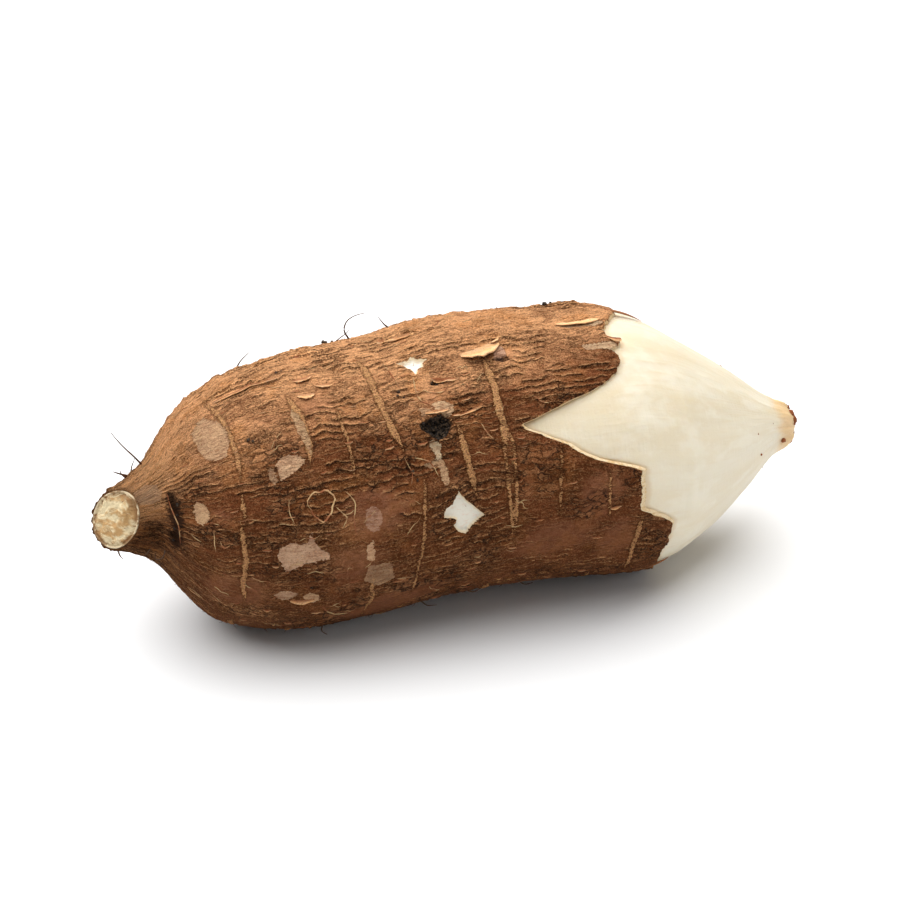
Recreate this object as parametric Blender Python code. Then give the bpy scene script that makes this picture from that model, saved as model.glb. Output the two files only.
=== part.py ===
"""Cassava root with the peel cut away from its tapering end.

The root grew as one piece, so it is one closed solid. It lies on its belly along X, with the
cut stem neck at -X and the peeled end at +X, and its belly is a little flattened where it
rests. Metres, +Z up, origin at the bottom centre of the root's box.
"""

import math

import bmesh
import bpy
from mathutils import Vector

NAME = "cassava_root"
MM = 0.001

# Driving dimensions, in millimetres. "Along" runs from the middle of the stem cut to the tip.
# The turn round the root is in degrees: 0 on top, 90 on the -Y side, 180 under the belly.
PEEL_THICKNESS = 1.8        # bark and rind together, over the body
NECK_PEEL_THICKNESS = 1.0   # the same at the stem cut
NECK_END = 30.0             # along, where the peel reaches its full thickness
PEEL_STEP = 0.5             # half the width of the step where the peel was cut
CHIP_DEPTH = 1.5            # small places where the peel is knocked off
SOIL_PIT_DEPTH = 2.6        # the scar that still holds soil
BELLY_LEVEL = 0.5           # the belly is flattened at this height
LOBE_HEIGHT = 0.7           # slow swellings that keep the section from being a true oval
CREASE_DEPTH = 2.6          # of the crease where the neck meets the shoulder
CREASE_ALONG = 15.0
CREASE_HALF_WIDTH = 3.0
CREASE_TURN = 90            # middle of the crease, on the -Y side
CREASE_REACH = 52           # degrees to each side of its middle

# The flesh under the peel: along, side shift and height of the middle, half width, half height
STATIONS = (
    (-6.0, -10.2, 44.9, 6.6, 6.5),
    (0.0, -8.7, 44.6, 7.2, 7.0),
    (8.0, -6.2, 43.8, 9.0, 9.4),
    (16.0, -3.5, 42.4, 14.3, 15.4),
    (21.0, -2.0, 40.9, 20.4, 22.1),
    (27.0, -1.0, 39.6, 27.4, 28.8),
    (38.0, 0.0, 39.4, 34.3, 34.7),
    (54.0, 0.8, 39.3, 38.4, 38.6),
    (76.0, 1.2, 40.5, 39.6, 39.3),
    (90.0, 1.0, 41.6, 39.8, 39.3),
    (104.0, 0.8, 43.2, 40.4, 39.8),
    (122.0, 0.2, 43.8, 41.0, 40.2),
    (142.0, -0.4, 42.8, 41.2, 40.2),
    (160.0, -0.6, 41.5, 41.0, 40.8),
    (172.0, -0.4, 38.9, 38.2, 38.4),
    (186.0, 0.0, 36.8, 30.8, 31.2),
    (202.0, 0.6, 35.8, 20.3, 20.4),
    (214.0, 0.8, 35.4, 11.2, 11.2),
    (225.0, 0.8, 34.4, 5.6, 5.6),
)
TIP_ALONG = STATIONS[-1][0]

# The slanted saw cut through the stem neck: a point of the plane and the way it faces
STEM_CUT_CENTRE = Vector((3.0, -7.9, 44.5))
STEM_CUT_FACING = Vector((-0.77, -0.52, 0.37)).normalized()

# The torn edge of the peel: turn, along. It closes on itself round the root.
PEEL_EDGE = (
    (0, 162), (8, 155), (15, 156), (22, 157), (29, 155), (36, 151), (45, 137), (52, 120),
    (60, 130), (68, 142), (75, 154), (85, 155), (95, 156), (98, 161), (104, 166), (120, 166),
    (137, 166), (150, 168), (165, 171), (180, 171), (194, 164), (206, 152), (216, 147),
    (228, 158), (240, 163), (252, 154), (266, 139), (274, 134), (284, 146), (298, 158),
    (312, 163), (324, 156), (336, 150), (348, 158),
)

# Places where the peel is gone: along and turn of the middle, depth, then the outline as
# steps in millimetres along and round the root
STAR_CHIP = (92.8, 16.0, CHIP_DEPTH, (
    (-3.7, -1.6), (-0.7, -4.4), (1.3, -2.2), (4.2, -1.0), (2.6, 1.0), (1.6, 2.8), (-0.4, 3.6),
    (-1.4, 1.8), (-3.2, 0.4),
))
LEAF_CHIP = (97.0, 85.0, CHIP_DEPTH, (
    (0.4, -7.6), (2.2, -6.4), (8.0, 1.2), (6.0, 2.6), (3.4, 5.4), (1.0, 6.8), (-1.4, 5.0),
    (-1.8, 2.6), (-0.6, 0.6), (-2.4, 1.4), (-4.0, 0.4), (-4.6, -1.4), (-3.0, -3.2), (-0.6, -5.8),
))
STREAK_CHIP = (92.6, 57.0, CHIP_DEPTH, (
    (-0.8, -2.0), (1.6, -1.4), (1.4, 1.2), (0.8, 4.0), (-0.2, 3.0), (-1.4, 0.0),
))
SOIL_PIT = (94.2, 47.0, SOIL_PIT_DEPTH, (
    (-4.4, -1.4), (-1.8, -2.6), (1.8, -4.0), (4.6, -0.6), (3.2, 2.2), (0.8, 4.2), (-2.8, 1.6),
))
CUTTER_TOP = 5.0            # how far a chip's cutter stands out of the skin

# Fineness of the loft
COLUMNS = 64                # faces round the root
NECK_ROWS = 9               # rows from the stem cut to the shoulder
SHOULDER_ALONG = 32.0
BARK_ROWS = 28              # rows from the shoulder to the edge of the peel
FLESH_ROWS = 22             # rows from the edge of the peel to the tip

BARK_COLOUR = (0.30, 0.17, 0.10, 1.0)
BARK_ROUGHNESS = 0.85


def along_curve(stations, along):
    """Smooth curve through the stations: cubic pieces whose slopes are weighted averages."""
    last = len(stations) - 2
    index = 0
    while index < last and along > stations[index + 1][0]:
        index += 1

    def slope(number, column):
        near = max(1, min(number, len(stations) - 2))
        before, here, after = stations[near - 1], stations[near], stations[near + 1]
        gap_in = here[0] - before[0]
        gap_out = after[0] - here[0]
        rise_in = (here[column] - before[column]) / gap_in
        rise_out = (after[column] - here[column]) / gap_out
        if number == 0:
            return rise_in
        if number == len(stations) - 1:
            return rise_out
        return (rise_in * gap_out + rise_out * gap_in) / (gap_in + gap_out)

    start, end = stations[index], stations[index + 1]
    gap = end[0] - start[0]
    t = (along - start[0]) / gap
    values = []
    for column in range(1, len(start)):
        value = (1 + 2 * t) * (1 - t) ** 2 * start[column] + t * t * (3 - 2 * t) * end[column]
        value += t * (1 - t) ** 2 * gap * slope(index, column)
        value -= t * t * (1 - t) * gap * slope(index + 1, column)
        values.append(value)
    return values


def lobes(along, angle):
    """Slow swellings of two and three lobes that wander along the root and fade at its belly."""
    body = math.sin(math.pi * min(max(along / TIP_ALONG, 0.0), 1.0))
    two = math.sin(2 * angle + along / 31.0)
    three = math.cos(3 * angle - along / 24.0)
    return LOBE_HEIGHT * body * math.cos(angle / 2) ** 2 * (0.6 * two + 0.4 * three)


def crease(along, turn):
    """Depth of the crease: a bell curve along the root that fades out to each side."""
    aside = min(abs(turn - CREASE_TURN) / CREASE_REACH, 1.0)
    bell = math.exp(-(((along - CREASE_ALONG) / CREASE_HALF_WIDTH) ** 2))
    return CREASE_DEPTH * bell * math.cos(aside * math.pi / 2) ** 2


def surface_point(along, turn, proud):
    """Point of the skin: an upright oval section, its lobes less its crease, and proud
    millimetres over it."""
    side, height, half_width, half_height = along_curve(STATIONS, along)
    angle = math.radians(turn)
    outward = Vector((0.0, -math.sin(angle) * half_width, math.cos(angle) * half_height))
    point = Vector((along, side, height)) + outward
    point += outward.normalized() * (proud + lobes(along, angle) - crease(along, turn))
    point.z = max(point.z, BELLY_LEVEL)
    return point


def peel_at(along):
    """Thickness of the peel, thinner on the neck."""
    share = min(max(along / NECK_END, 0.0), 1.0)
    return NECK_PEEL_THICKNESS + (PEEL_THICKNESS - NECK_PEEL_THICKNESS) * share


def peel_edge_at(turn):
    """Where the peel ends at this turn: straight runs between the points of its torn edge."""
    points = PEEL_EDGE + ((PEEL_EDGE[0][0] + 360, PEEL_EDGE[0][1]),)
    for before, after in zip(points, points[1:]):
        if before[0] <= turn <= after[0]:
            share = (turn - before[0]) / (after[0] - before[0])
            return before[1] + share * (after[1] - before[1])
    raise ValueError(f"turn {turn} is outside the peel's edge")


def column_places(turn):
    """Along and proud of every loft row at this turn: neck, body under its peel, flesh."""
    start = STATIONS[0][0]
    edge = peel_edge_at(turn)
    places = []
    for row in range(NECK_ROWS):
        places.append(start + (SHOULDER_ALONG - start) * row / NECK_ROWS)
    bark_end = edge - PEEL_STEP
    for row in range(BARK_ROWS + 1):
        places.append(SHOULDER_ALONG + (bark_end - SHOULDER_ALONG) * row / BARK_ROWS)
    column = [(along, peel_at(along)) for along in places]
    flesh_start = edge + PEEL_STEP
    for row in range(FLESH_ROWS + 1):
        column.append((flesh_start + (TIP_ALONG - flesh_start) * row / FLESH_ROWS, 0.0))
    return column


def loft_root(mesh):
    """Close the columns of points into one skin with a flat face at each end."""
    columns = []
    for number in range(COLUMNS):
        turn = 360.0 * number / COLUMNS
        points = [surface_point(along, turn, proud) for along, proud in column_places(turn)]
        columns.append([mesh.verts.new(point * MM) for point in points])
    rows = len(columns[0])
    for number in range(COLUMNS):
        here, beside = columns[number], columns[(number + 1) % COLUMNS]
        for row in range(rows - 1):
            mesh.faces.new((here[row], here[row + 1], beside[row + 1], beside[row]))
    mesh.faces.new([column[0] for column in columns])
    mesh.faces.new([column[-1] for column in reversed(columns)])
    bmesh.ops.recalc_face_normals(mesh, faces=mesh.faces)


def saw_stem(mesh):
    """Cut the neck across on a slant and close it with a flat face."""
    everything = mesh.verts[:] + mesh.edges[:] + mesh.faces[:]
    cut = bmesh.ops.bisect_plane(
        mesh,
        geom=everything,
        plane_co=STEM_CUT_CENTRE * MM,
        plane_no=STEM_CUT_FACING,
        clear_outer=True,
    )
    rim = [item for item in cut["geom_cut"] if isinstance(item, bmesh.types.BMEdge)]
    bmesh.ops.contextual_create(mesh, geom=rim)
    bmesh.ops.recalc_face_normals(mesh, faces=mesh.faces)


def make_object(name, mesh, collection):
    """Turn a bmesh into a named object of this collection."""
    data = bpy.data.meshes.new(name)
    mesh.to_mesh(data)
    mesh.free()
    thing = bpy.data.objects.new(name, data)
    collection.objects.link(thing)
    return thing


def make_chip_cutter(name, chip, collection):
    """Closed plug over a chip's outline, from its floor in the peel to clear of the skin."""
    along, turn, depth, outline = chip
    mesh = bmesh.new()
    half_height = along_curve(STATIONS, along)[3]
    degrees_per_mm = math.degrees(1.0 / (half_height + PEEL_THICKNESS))

    def loop(proud):
        ring = []
        for step_along, step_round in outline:
            place = surface_point(along + step_along, turn + step_round * degrees_per_mm, proud)
            ring.append(mesh.verts.new(place * MM))
        hub = mesh.verts.new(surface_point(along, turn, proud) * MM)
        return ring, hub

    floor, floor_hub = loop(PEEL_THICKNESS - depth)
    top, top_hub = loop(PEEL_THICKNESS + CUTTER_TOP)
    for number in range(len(outline)):
        after = (number + 1) % len(outline)
        mesh.faces.new((floor[number], floor[after], top[after], top[number]))
        mesh.faces.new((floor_hub, floor[after], floor[number]))
        mesh.faces.new((top_hub, top[number], top[after]))
    bmesh.ops.recalc_face_normals(mesh, faces=mesh.faces)
    cutter = make_object(name, mesh, collection)
    cutter.hide_render = True
    cutter.display_type = "WIRE"
    return cutter


def bark_material():
    """Dry, rough brown bark."""
    material = bpy.data.materials.new("bark")
    material.use_nodes = True
    shader = material.node_tree.nodes["Principled BSDF"]
    shader.inputs["Base Color"].default_value = BARK_COLOUR
    shader.inputs["Roughness"].default_value = BARK_ROUGHNESS
    shader.inputs["Metallic"].default_value = 0.0
    return material


def stand_on_origin(thing, cutters):
    """Move the meshes so that the root's box stands on the origin with its bottom centre."""
    places = [vertex.co for vertex in thing.data.vertices]
    lowest = Vector(min(place[axis] for place in places) for axis in range(3))
    highest = Vector(max(place[axis] for place in places) for axis in range(3))
    centre = (lowest + highest) / 2
    shift = Vector((-centre.x, -centre.y, -lowest.z))
    for moved in [thing] + cutters:
        for vertex in moved.data.vertices:
            vertex.co += shift


def empty_scene():
    """Start from nothing."""
    for thing in list(bpy.data.objects):
        bpy.data.objects.remove(thing, do_unlink=True)


def new_collection(name):
    """Collection linked to the scene."""
    collection = bpy.data.collections.new(name)
    bpy.context.scene.collection.children.link(collection)
    return collection


def main():
    empty_scene()
    parts = new_collection(NAME)
    cutter_collection = new_collection("cutters")

    mesh = bmesh.new()
    loft_root(mesh)
    saw_stem(mesh)
    root = make_object(NAME, mesh, parts)

    chips = {
        "star_chip": STAR_CHIP,
        "leaf_chip": LEAF_CHIP,
        "streak_chip": STREAK_CHIP,
        "soil_pit": SOIL_PIT,
    }
    cutters = [make_chip_cutter(name, chip, cutter_collection) for name, chip in chips.items()]
    stand_on_origin(root, cutters)
    for cutter in cutters:
        cut = root.modifiers.new(cutter.name, "BOOLEAN")
        cut.operation = "DIFFERENCE"
        cut.object = cutter

    root.data.materials.append(bark_material())
    root.data.shade_smooth()
    root.data.set_sharp_from_angle(angle=math.radians(40.0))


main()
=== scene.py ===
"""Cassava root lying on its belly, with the peel torn back from its tapering end.

The root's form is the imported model's own: an upright oval section carried along X. Over it lie
the bark with its wrinkles, rings, scars and chips, the cut flesh, the woody face of the stem cut,
lifted flakes, hair roots and soil.
"""

import math

import bmesh
import bpy
import numpy as np
from bpy.props import FloatProperty, FloatVectorProperty, PointerProperty
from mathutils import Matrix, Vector


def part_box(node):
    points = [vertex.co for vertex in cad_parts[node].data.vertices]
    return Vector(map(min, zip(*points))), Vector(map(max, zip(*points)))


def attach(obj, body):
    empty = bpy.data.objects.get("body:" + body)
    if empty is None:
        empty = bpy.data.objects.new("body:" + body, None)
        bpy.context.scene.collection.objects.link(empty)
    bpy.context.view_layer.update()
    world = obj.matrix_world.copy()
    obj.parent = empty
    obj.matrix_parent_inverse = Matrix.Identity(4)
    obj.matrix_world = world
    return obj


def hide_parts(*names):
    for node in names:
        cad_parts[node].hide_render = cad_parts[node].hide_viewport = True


bl_info = {
    "name": "Cassava Root",
    "version": (1, 0, 0),
    "blender": (4, 5, 0),
    "location": "3D View > Sidebar > Cassava",
    "description": "Builds a cassava root with its peel torn back from one end",
    "category": "Add Mesh",
}

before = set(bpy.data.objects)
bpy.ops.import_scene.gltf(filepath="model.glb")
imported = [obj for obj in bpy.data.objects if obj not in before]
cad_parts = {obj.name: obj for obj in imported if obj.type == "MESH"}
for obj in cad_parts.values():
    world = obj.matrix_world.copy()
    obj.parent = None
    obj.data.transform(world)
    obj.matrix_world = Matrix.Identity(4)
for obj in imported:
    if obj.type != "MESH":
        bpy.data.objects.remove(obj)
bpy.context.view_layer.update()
NODE = "cassava_root"
CAD_LOW, CAD_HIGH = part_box(NODE)
MM = 0.001

# ---------------------------------------------------------------------------
# Form of the root. Lengths are millimetres, "along" runs from the stem cut to the tip, and a
# turn is in degrees: 0 on top, 90 on the -Y side, 180 under the belly.
# ---------------------------------------------------------------------------

# along, side shift and height of the middle, half width, half height
STATIONS = np.array((
    (-6, -10.2, 44.9, 6.6, 6.5),
    (0, -8.7, 44.6, 7.2, 7),
    (8, -6.2, 43.8, 9, 9.4),
    (16, -3.5, 42.4, 14.3, 15.4),
    (21, -2, 40.9, 20.4, 22.1),
    (27, -1, 39.6, 27.4, 28.8),
    (38, 0, 39.4, 34.3, 34.7),
    (54, 0.8, 39.3, 38.4, 38.6),
    (76, 1.2, 40.5, 39.6, 39.3),
    (90, 1, 41.6, 39.8, 39.3),
    (104, 0.8, 43.2, 40.4, 39.8),
    (122, 0.2, 43.8, 41, 40.2),
    (142, -0.4, 42.8, 41.2, 40.2),
    (160, -0.6, 41.5, 41, 40.8),
    (172, -0.4, 38.9, 38.2, 38.4),
    (186, 0, 36.8, 30.8, 31.2),
    (202, 0.6, 35.8, 20.3, 20.4),
    (214, 0.8, 35.4, 11.2, 11.2),
    (225, 0.8, 34.4, 5.6, 5.6),
))
TIP_ALONG = STATIONS[-1, 0]
BELLY_LEVEL = 0.5
LOBE_HEIGHT = 0.7
# Two slow waves round the root: millimetres along it in which each turns by a radian, and
# shares of the height
LOBE_TURN_LENGTHS = (31.0, 24.0)
LOBE_SHARES = (0.6, 0.4)
CREASE_DEPTH, CREASE_ALONG, CREASE_HALF_WIDTH = 2.6, 15.0, 3.0
CREASE_TURN, CREASE_REACH = 90.0, 52.0
PEEL_THICKNESS = 1.8
NECK_PEEL_THICKNESS = 1.0
NECK_END = 30.0
GRAIN_RADIUS = 42.0         # the bark's pattern is laid out on a round bar of this radius
DEGREES_PER_MM = math.degrees(1.0 / GRAIN_RADIUS)       # round that bar

STEM_CUT_CENTRE = np.array((3.0, -7.9, 44.5))
STEM_CUT_FACING = np.array((-0.77, -0.52, 0.37))
STEM_CUT_FACING /= np.linalg.norm(STEM_CUT_FACING)

# The torn edge of the peel: turn, along
PEEL_EDGE = (
    (0, 160.6), (5, 157.5), (12, 153), (15.2, 153.4), (18.4, 156.4), (20.4, 157), (22.8, 156),
    (23.8, 153.2), (26, 154.4), (28, 154.8), (31, 154), (35, 152), (38, 149), (41, 144.5),
    (44, 137.5), (48, 129.5), (51.8, 122.8), (53, 119.2), (56, 122), (60, 127.8), (62, 131),
    (65, 134.6), (68.5, 139), (71, 143.4), (73, 148), (75, 152.5), (76.5, 155), (85, 155),
    (94, 155), (96, 158.5), (99, 162.4), (103, 165.4), (109, 165.2), (116, 165), (124, 164.5),
    (137, 165), (150, 168), (165, 171), (180, 171), (194, 164), (206, 152), (216, 147),
    (228, 158), (240, 163), (252, 154), (266, 139), (274, 134), (284, 146), (298, 158),
    (312, 163), (324, 156), (336, 150), (348, 158), (353.5, 163.5), (360, 160.6),
)


def smooth(low, high, value):
    """0 below low, 1 above high, and an S-shaped rise between them."""
    t = np.clip((value - low) / (high - low), 0.0, 1.0)
    return t * t * (3 - 2 * t)


def around(turn, middle):
    """Turn measured from another, between -180 and 180."""
    return (turn - middle + 180.0) % 360.0 - 180.0


def form(along):
    """Side shift, height and half sizes of the section: cubic pieces through the stations,
    whose slope at a station is the average of its neighbours' slopes weighted by distance."""
    places = STATIONS[:, 0]
    gaps = np.diff(places)
    rises = np.diff(STATIONS[:, 1:], axis=0) / gaps[:, None]
    slopes = np.empty_like(STATIONS[:, 1:])
    slopes[0], slopes[-1] = rises[0], rises[-1]
    weighted = rises[:-1] * gaps[1:, None] + rises[1:] * gaps[:-1, None]
    slopes[1:-1] = weighted / (gaps[:-1] + gaps[1:])[:, None]
    piece = np.clip(np.searchsorted(places, along, side="right") - 1, 0, len(gaps) - 1)
    gap = gaps[piece][..., None]
    t = ((along - places[piece])[..., None]) / gap
    start, end = STATIONS[piece, 1:], STATIONS[piece + 1, 1:]
    values = (1 + 2 * t) * (1 - t) ** 2 * start + t * t * (3 - 2 * t) * end
    values += t * (1 - t) ** 2 * gap * slopes[piece] - t * t * (1 - t) * gap * slopes[piece + 1]
    return np.moveaxis(values, -1, 0)


def skin_mm(along, turn, proud):
    """Points over the root's surface in its own millimetres: an oval of the section's half
    sizes, its slow lobes, the crease between neck and shoulder, and proud millimetres
    outwards, with the belly pressed level."""
    along, turn, proud = np.broadcast_arrays(*(np.asarray(v, float) for v in (along, turn, proud)))
    side, height, half_width, half_height = form(along)
    angle = np.radians(turn)
    body = np.sin(math.pi * np.clip(along / TIP_ALONG, 0.0, 1.0))
    two = LOBE_SHARES[0] * np.sin(2 * angle + along / LOBE_TURN_LENGTHS[0])
    three = LOBE_SHARES[1] * np.cos(3 * angle - along / LOBE_TURN_LENGTHS[1])
    lobes = LOBE_HEIGHT * body * np.cos(angle / 2) ** 2 * (two + three)
    aside = np.minimum(np.abs(around(turn, CREASE_TURN)) / CREASE_REACH, 1.0)
    bell = np.exp(-((along - CREASE_ALONG) / CREASE_HALF_WIDTH) ** 2)
    crease = CREASE_DEPTH * bell * np.cos(aside * math.pi / 2) ** 2
    across = -np.sin(angle) * half_width
    upright = np.cos(angle) * half_height
    reach = 1.0 + (proud + lobes - crease) / np.hypot(across, upright)
    height = np.maximum(height + upright * reach, BELLY_LEVEL)
    return np.stack((along, side + across * reach, height), axis=-1)


SECTIONS, SECTION_POINTS = 200, 64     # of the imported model, whose middle the shift matches


def find_shift():
    """How far the root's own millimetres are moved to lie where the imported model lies."""
    along = np.linspace(0.0, TIP_ALONG, SECTIONS)[:, None]
    turn = np.arange(0.0, 360.0, 360.0 / SECTION_POINTS)[None, :]
    across = skin_mm(along, turn, PEEL_THICKNESS)[..., 1]
    middle = (across.max() + across.min()) / 2
    cad_middle = (CAD_LOW.y + CAD_HIGH.y) / 2 / MM
    return np.array((CAD_HIGH.x / MM - TIP_ALONG, cad_middle - middle, -BELLY_LEVEL))


SHIFT = find_shift()


def skin(along, turn, proud):
    """The same points in metres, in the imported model's frame."""
    return (skin_mm(along, turn, proud) + SHIFT) * MM


def peel_at(along):
    """Thickness of the peel, thinner on the neck."""
    share = np.clip(along / NECK_END, 0.0, 1.0)
    return NECK_PEEL_THICKNESS + (PEEL_THICKNESS - NECK_PEEL_THICKNESS) * share


# ---------------------------------------------------------------------------
# Noise
# ---------------------------------------------------------------------------


def lattice(cell, seed):
    """A number from 0 to 1 for each whole-number point, mixed from its coordinates' bits."""
    mask = np.uint64(0xFFFFFFFF)
    x, y, z = (cell[..., axis].astype(np.int64).astype(np.uint64) for axis in range(3))
    mixed = x * np.uint64(374761393) + y * np.uint64(668265263) + z * np.uint64(1440662683)
    mixed = (mixed + np.uint64(seed) * np.uint64(974634777)) & mask
    mixed = ((mixed ^ (mixed >> np.uint64(13))) * np.uint64(1274126177)) & mask
    mixed = ((mixed ^ (mixed >> np.uint64(15))) * np.uint64(2246822519)) & mask
    return (mixed ^ (mixed >> np.uint64(16))).astype(float) / float(mask)


def noise(place, seed=0):
    """Smooth noise from -1 to 1: the values at a cell's eight corners, blended by quintics."""
    cell = np.floor(place)
    part = place - cell
    blend = part ** 3 * (part * (part * 6 - 15) + 10)
    total = np.zeros(place.shape[:-1])
    for corner in range(8):
        step = np.array((corner & 1, corner >> 1 & 1, corner >> 2))
        weight = np.prod(np.where(step, blend, 1 - blend), axis=-1)
        total += weight * lattice(cell + step, seed)
    return 2 * total - 1


def layers(place, count, seed=0):
    """Sum of noises, each twice as fine and half as strong as the one before."""
    total = np.zeros(place.shape[:-1])
    for number in range(count):
        total += noise(place * 2.0 ** number, seed + number) / 2.0 ** number
    return total


def creases(place, count, seed=0):
    """Sharp valleys where each layer of noise crosses zero: 0 in a valley, 1 far from one."""
    total = np.zeros(place.shape[:-1])
    weight_sum = 0.0
    for number in range(count):
        weight = 0.6 ** number
        total += weight * np.minimum(np.abs(noise(place * 2.0 ** number, seed + number)) * 2.6, 1.0)
        weight_sum += weight
    return total / weight_sum


# ---------------------------------------------------------------------------
# Marks on the bark: outlines are along and turn
# ---------------------------------------------------------------------------

# Growth rings: half width in millimetres, then along and turn of points on the ring
RINGS = (
    (0.75, ((33.2, 2), (35.1, 13), (36.2, 21), (36.5, 30), (37.2, 40), (36.9, 51))),
    (0.70, ((36.5, 56), (36.2, 64), (36.6, 71))),
    (0.75, ((34.9, 70), (35.4, 81), (35.4, 89), (34.6, 100), (34.8, 115))),
    (1.30, ((54.6, 18), (56, 28), (56.6, 35), (56.8, 41), (56.1, 51))),
    (0.45, ((67, 28), (68, 44), (68, 60))),
    (1.05, ((78.8, 5), (79.2, 15), (79.6, 25), (80.2, 34), (80.9, 42), (83.1, 54))),
    (0.50, ((87.8, 64), (87.4, 75), (86.9, 83), (85.9, 96), (85.1, 110), (84.5, 123))),
    (0.95, ((99.8, 46), (100.8, 59), (101.2, 67), (102.6, 79))),
    (1.25, ((113.5, 21), (113.6, 32), (113.4, 42), (113.2, 54), (112.8, 62))),
    (0.50, ((112.4, 51), (112.1, 62), (112.1, 72), (112.6, 84), (113.2, 97))),
    (0.50, ((114.2, 49), (114.7, 60), (114.9, 70), (114.4, 80), (113.8, 97))),
    (0.45, ((129, 59), (129, 69), (127.5, 77), (127, 91))),
    (0.35, ((143, 68), (143, 98))),
    (0.75, ((153.9, 93), (153, 106), (152.5, 116), (153.6, 134))),
    (0.60, ((71, 98), (72, 116), (71, 132))),
)
# Rings round the side that those leave out
FAR_RINGS = (35, 46, 56, 70, 82, 101, 113, 128, 143)
FAR_RING_HALF_WIDTH = 1.1
FAR_ABOVE, FAR_BELOW = (-30.0, -20.0), (142.0, 134.0)   # turns between which they fade
RING_SHARE = 0.85
RING_TAPER = (-2.0, 9.0)    # degrees inside a ring's end, over which it widens
OUTSIDE = -4.0              # millimetres inside a ring, where there is none near

# Places scraped to the paler layer under the skin: tone from pinkish grey, 0, through yellow
# tan, 1, to cream, 2, then strength, then the outline
SCUFFS = (
    (0.80, 0.78, ((28.8, 12.5), (31.4, 10.8), (34.4, 18), (36.1, 24), (35.8, 32), (34, 39),
                  (31.4, 39), (29, 36), (27.4, 28))),
    (1.10, 0.70, ((27, 16), (29.5, 12), (31, 22), (30.8, 33), (28, 32))),
    (0.70, 0.95, ((46.8, 48.5), (48.2, 45.5), (50.6, 45), (52.8, 46.2), (54.8, 48.5), (54.5, 49.8),
                  (52.2, 52), (49.6, 54), (47.4, 54.5), (46.6, 51.8))),
    (0.80, 0.60, ((44.4, 49), (46, 50), (46.4, 54), (45.4, 57), (44.4, 54))),
    (0.95, 0.95, ((23.6, 60), (24.6, 58.2), (26.2, 59.4), (27, 63), (26.6, 68), (25.2, 71.4),
                  (24, 70), (23.4, 65))),
    (0.45, 1.00, ((44, 86.8), (45, 82.8), (47.9, 81.2), (51.5, 82.5), (53.1, 81.5), (53.6, 78),
                  (54.2, 81.8), (55.9, 85.2), (58.1, 87.5), (58.4, 90.5), (54.9, 91), (52, 91.6),
                  (48.2, 94), (46.2, 95), (45, 91.8))),
    (1.00, 0.85, ((54, 24), (56.6, 30), (57.6, 38), (57, 47), (55.7, 42), (54.2, 33))),
    (0.10, 0.45, ((70, 73.2), (71.9, 72.2), (73.5, 73.5), (74.5, 76.8), (73.5, 83), (71.1, 83),
                  (69.6, 79))),
    (0.80, 0.85, ((69.3, 88), (71.4, 86.5), (72, 91), (71.5, 96), (69.5, 96))),
    (1.35, 1.00, ((140.1, 6), (144, 4), (148.1, 4.8), (153.2, 6), (154.4, 8.6), (149.9, 9.3),
                  (143.9, 8.5))),
    (1.25, 0.85, ((94, 37.2), (98, 36.4), (100.6, 40), (100.2, 43), (98, 44.6), (96.1, 41.8))),
    (0.90, 0.60, ((89.5, 37), (93.8, 38.6), (94.6, 41.4), (91.2, 41))),
    (1.35, 0.95, ((144, 20), (149, 20.4), (154, 20.6), (155.4, 23.4), (152, 24.2), (149, 23.6),
                  (145, 23))),
    (0.80, 0.45, ((70, 98), (77, 99), (78, 108), (74, 112), (69, 106))),
    (0.55, 0.75, ((42.9, 109.2), (44.4, 106.5), (47.2, 106.2), (49.9, 107.8), (47.4, 112),
                  (44.9, 112.5))),
    (0.90, 0.80, ((51.1, 109.8), (53, 107.5), (55.4, 109.2), (56.1, 112.8), (53.9, 115),
                  (51.8, 113.2))),
    (1.75, 0.95, ((91.3, 51.5), (93.1, 52.5), (94.1, 55.2), (93.8, 58.5), (93.9, 60.6),
                  (92.2, 60.6), (91.9, 56.5), (91, 53.8))),
    (1.05, 0.95, ((92.2, 60.3), (93.9, 60.3), (94.8, 64.8), (94.9, 69.8), (93.9, 71.6),
                  (92.9, 68.2), (92.8, 64))),
    (0.90, 0.80, ((88.4, 60.5), (91, 59.6), (92.4, 61), (91, 62.6), (89.2, 62.2))),
    (0.05, 0.70, ((118.6, 15), (120.6, 17.5), (120.5, 21), (118.4, 23.8), (116.1, 22.5))),
    (0.70, 0.50, ((8.5, 26), (12.5, 25), (15.4, 33), (16.4, 43), (16, 50), (13.4, 52),
                  (10.5, 49), (9, 38))),
    (0.50, 0.45, ((47, -27), (50, -31), (56, -33), (62, -30), (60, -26), (55, -28), (50, -24))),
    (0.80, 0.40, ((90, -46), (94, -50), (101, -52), (106, -48), (102, -45), (97, -47),
                  (93, -43))),
    (0.60, 0.40, ((60, -84), (66, -88), (74, -87), (80, -82), (74, -80), (70, -83), (64, -80))),
    (0.85, 0.35, ((116, -97), (121, -101), (129, -100), (134, -96), (127, -94), (121, -96))),
    (0.40, 0.40, ((38, -110), (43, -113), (50, -111), (53, -107), (46, -106), (42, -108))),
)
# Smooth worn skin between the wrinkled places: along, turn, half length, half width
WORN = (
    (73, 76, 13, 9), (66, 97, 12, 8), (126, 103, 16, 9), (146, 108, 8, 12), (61, 24, 10, 5),
    (45, 28, 8, 5), (141, 84, 8, 9), (121, 22, 5, 4), (104, 32, 7, 3), (78, 130, 20, 10),
    (32, 108, 8, 9), (30, 68, 5, 5), (95, 35, 3, 3), (118, 76, 4, 8),
    (60, -60, 14, 9), (100, -80, 18, 10), (130, -50, 12, 8), (80, -130, 16, 12),
    (120, 150, 18, 10), (45, -140, 10, 9),
)
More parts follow.
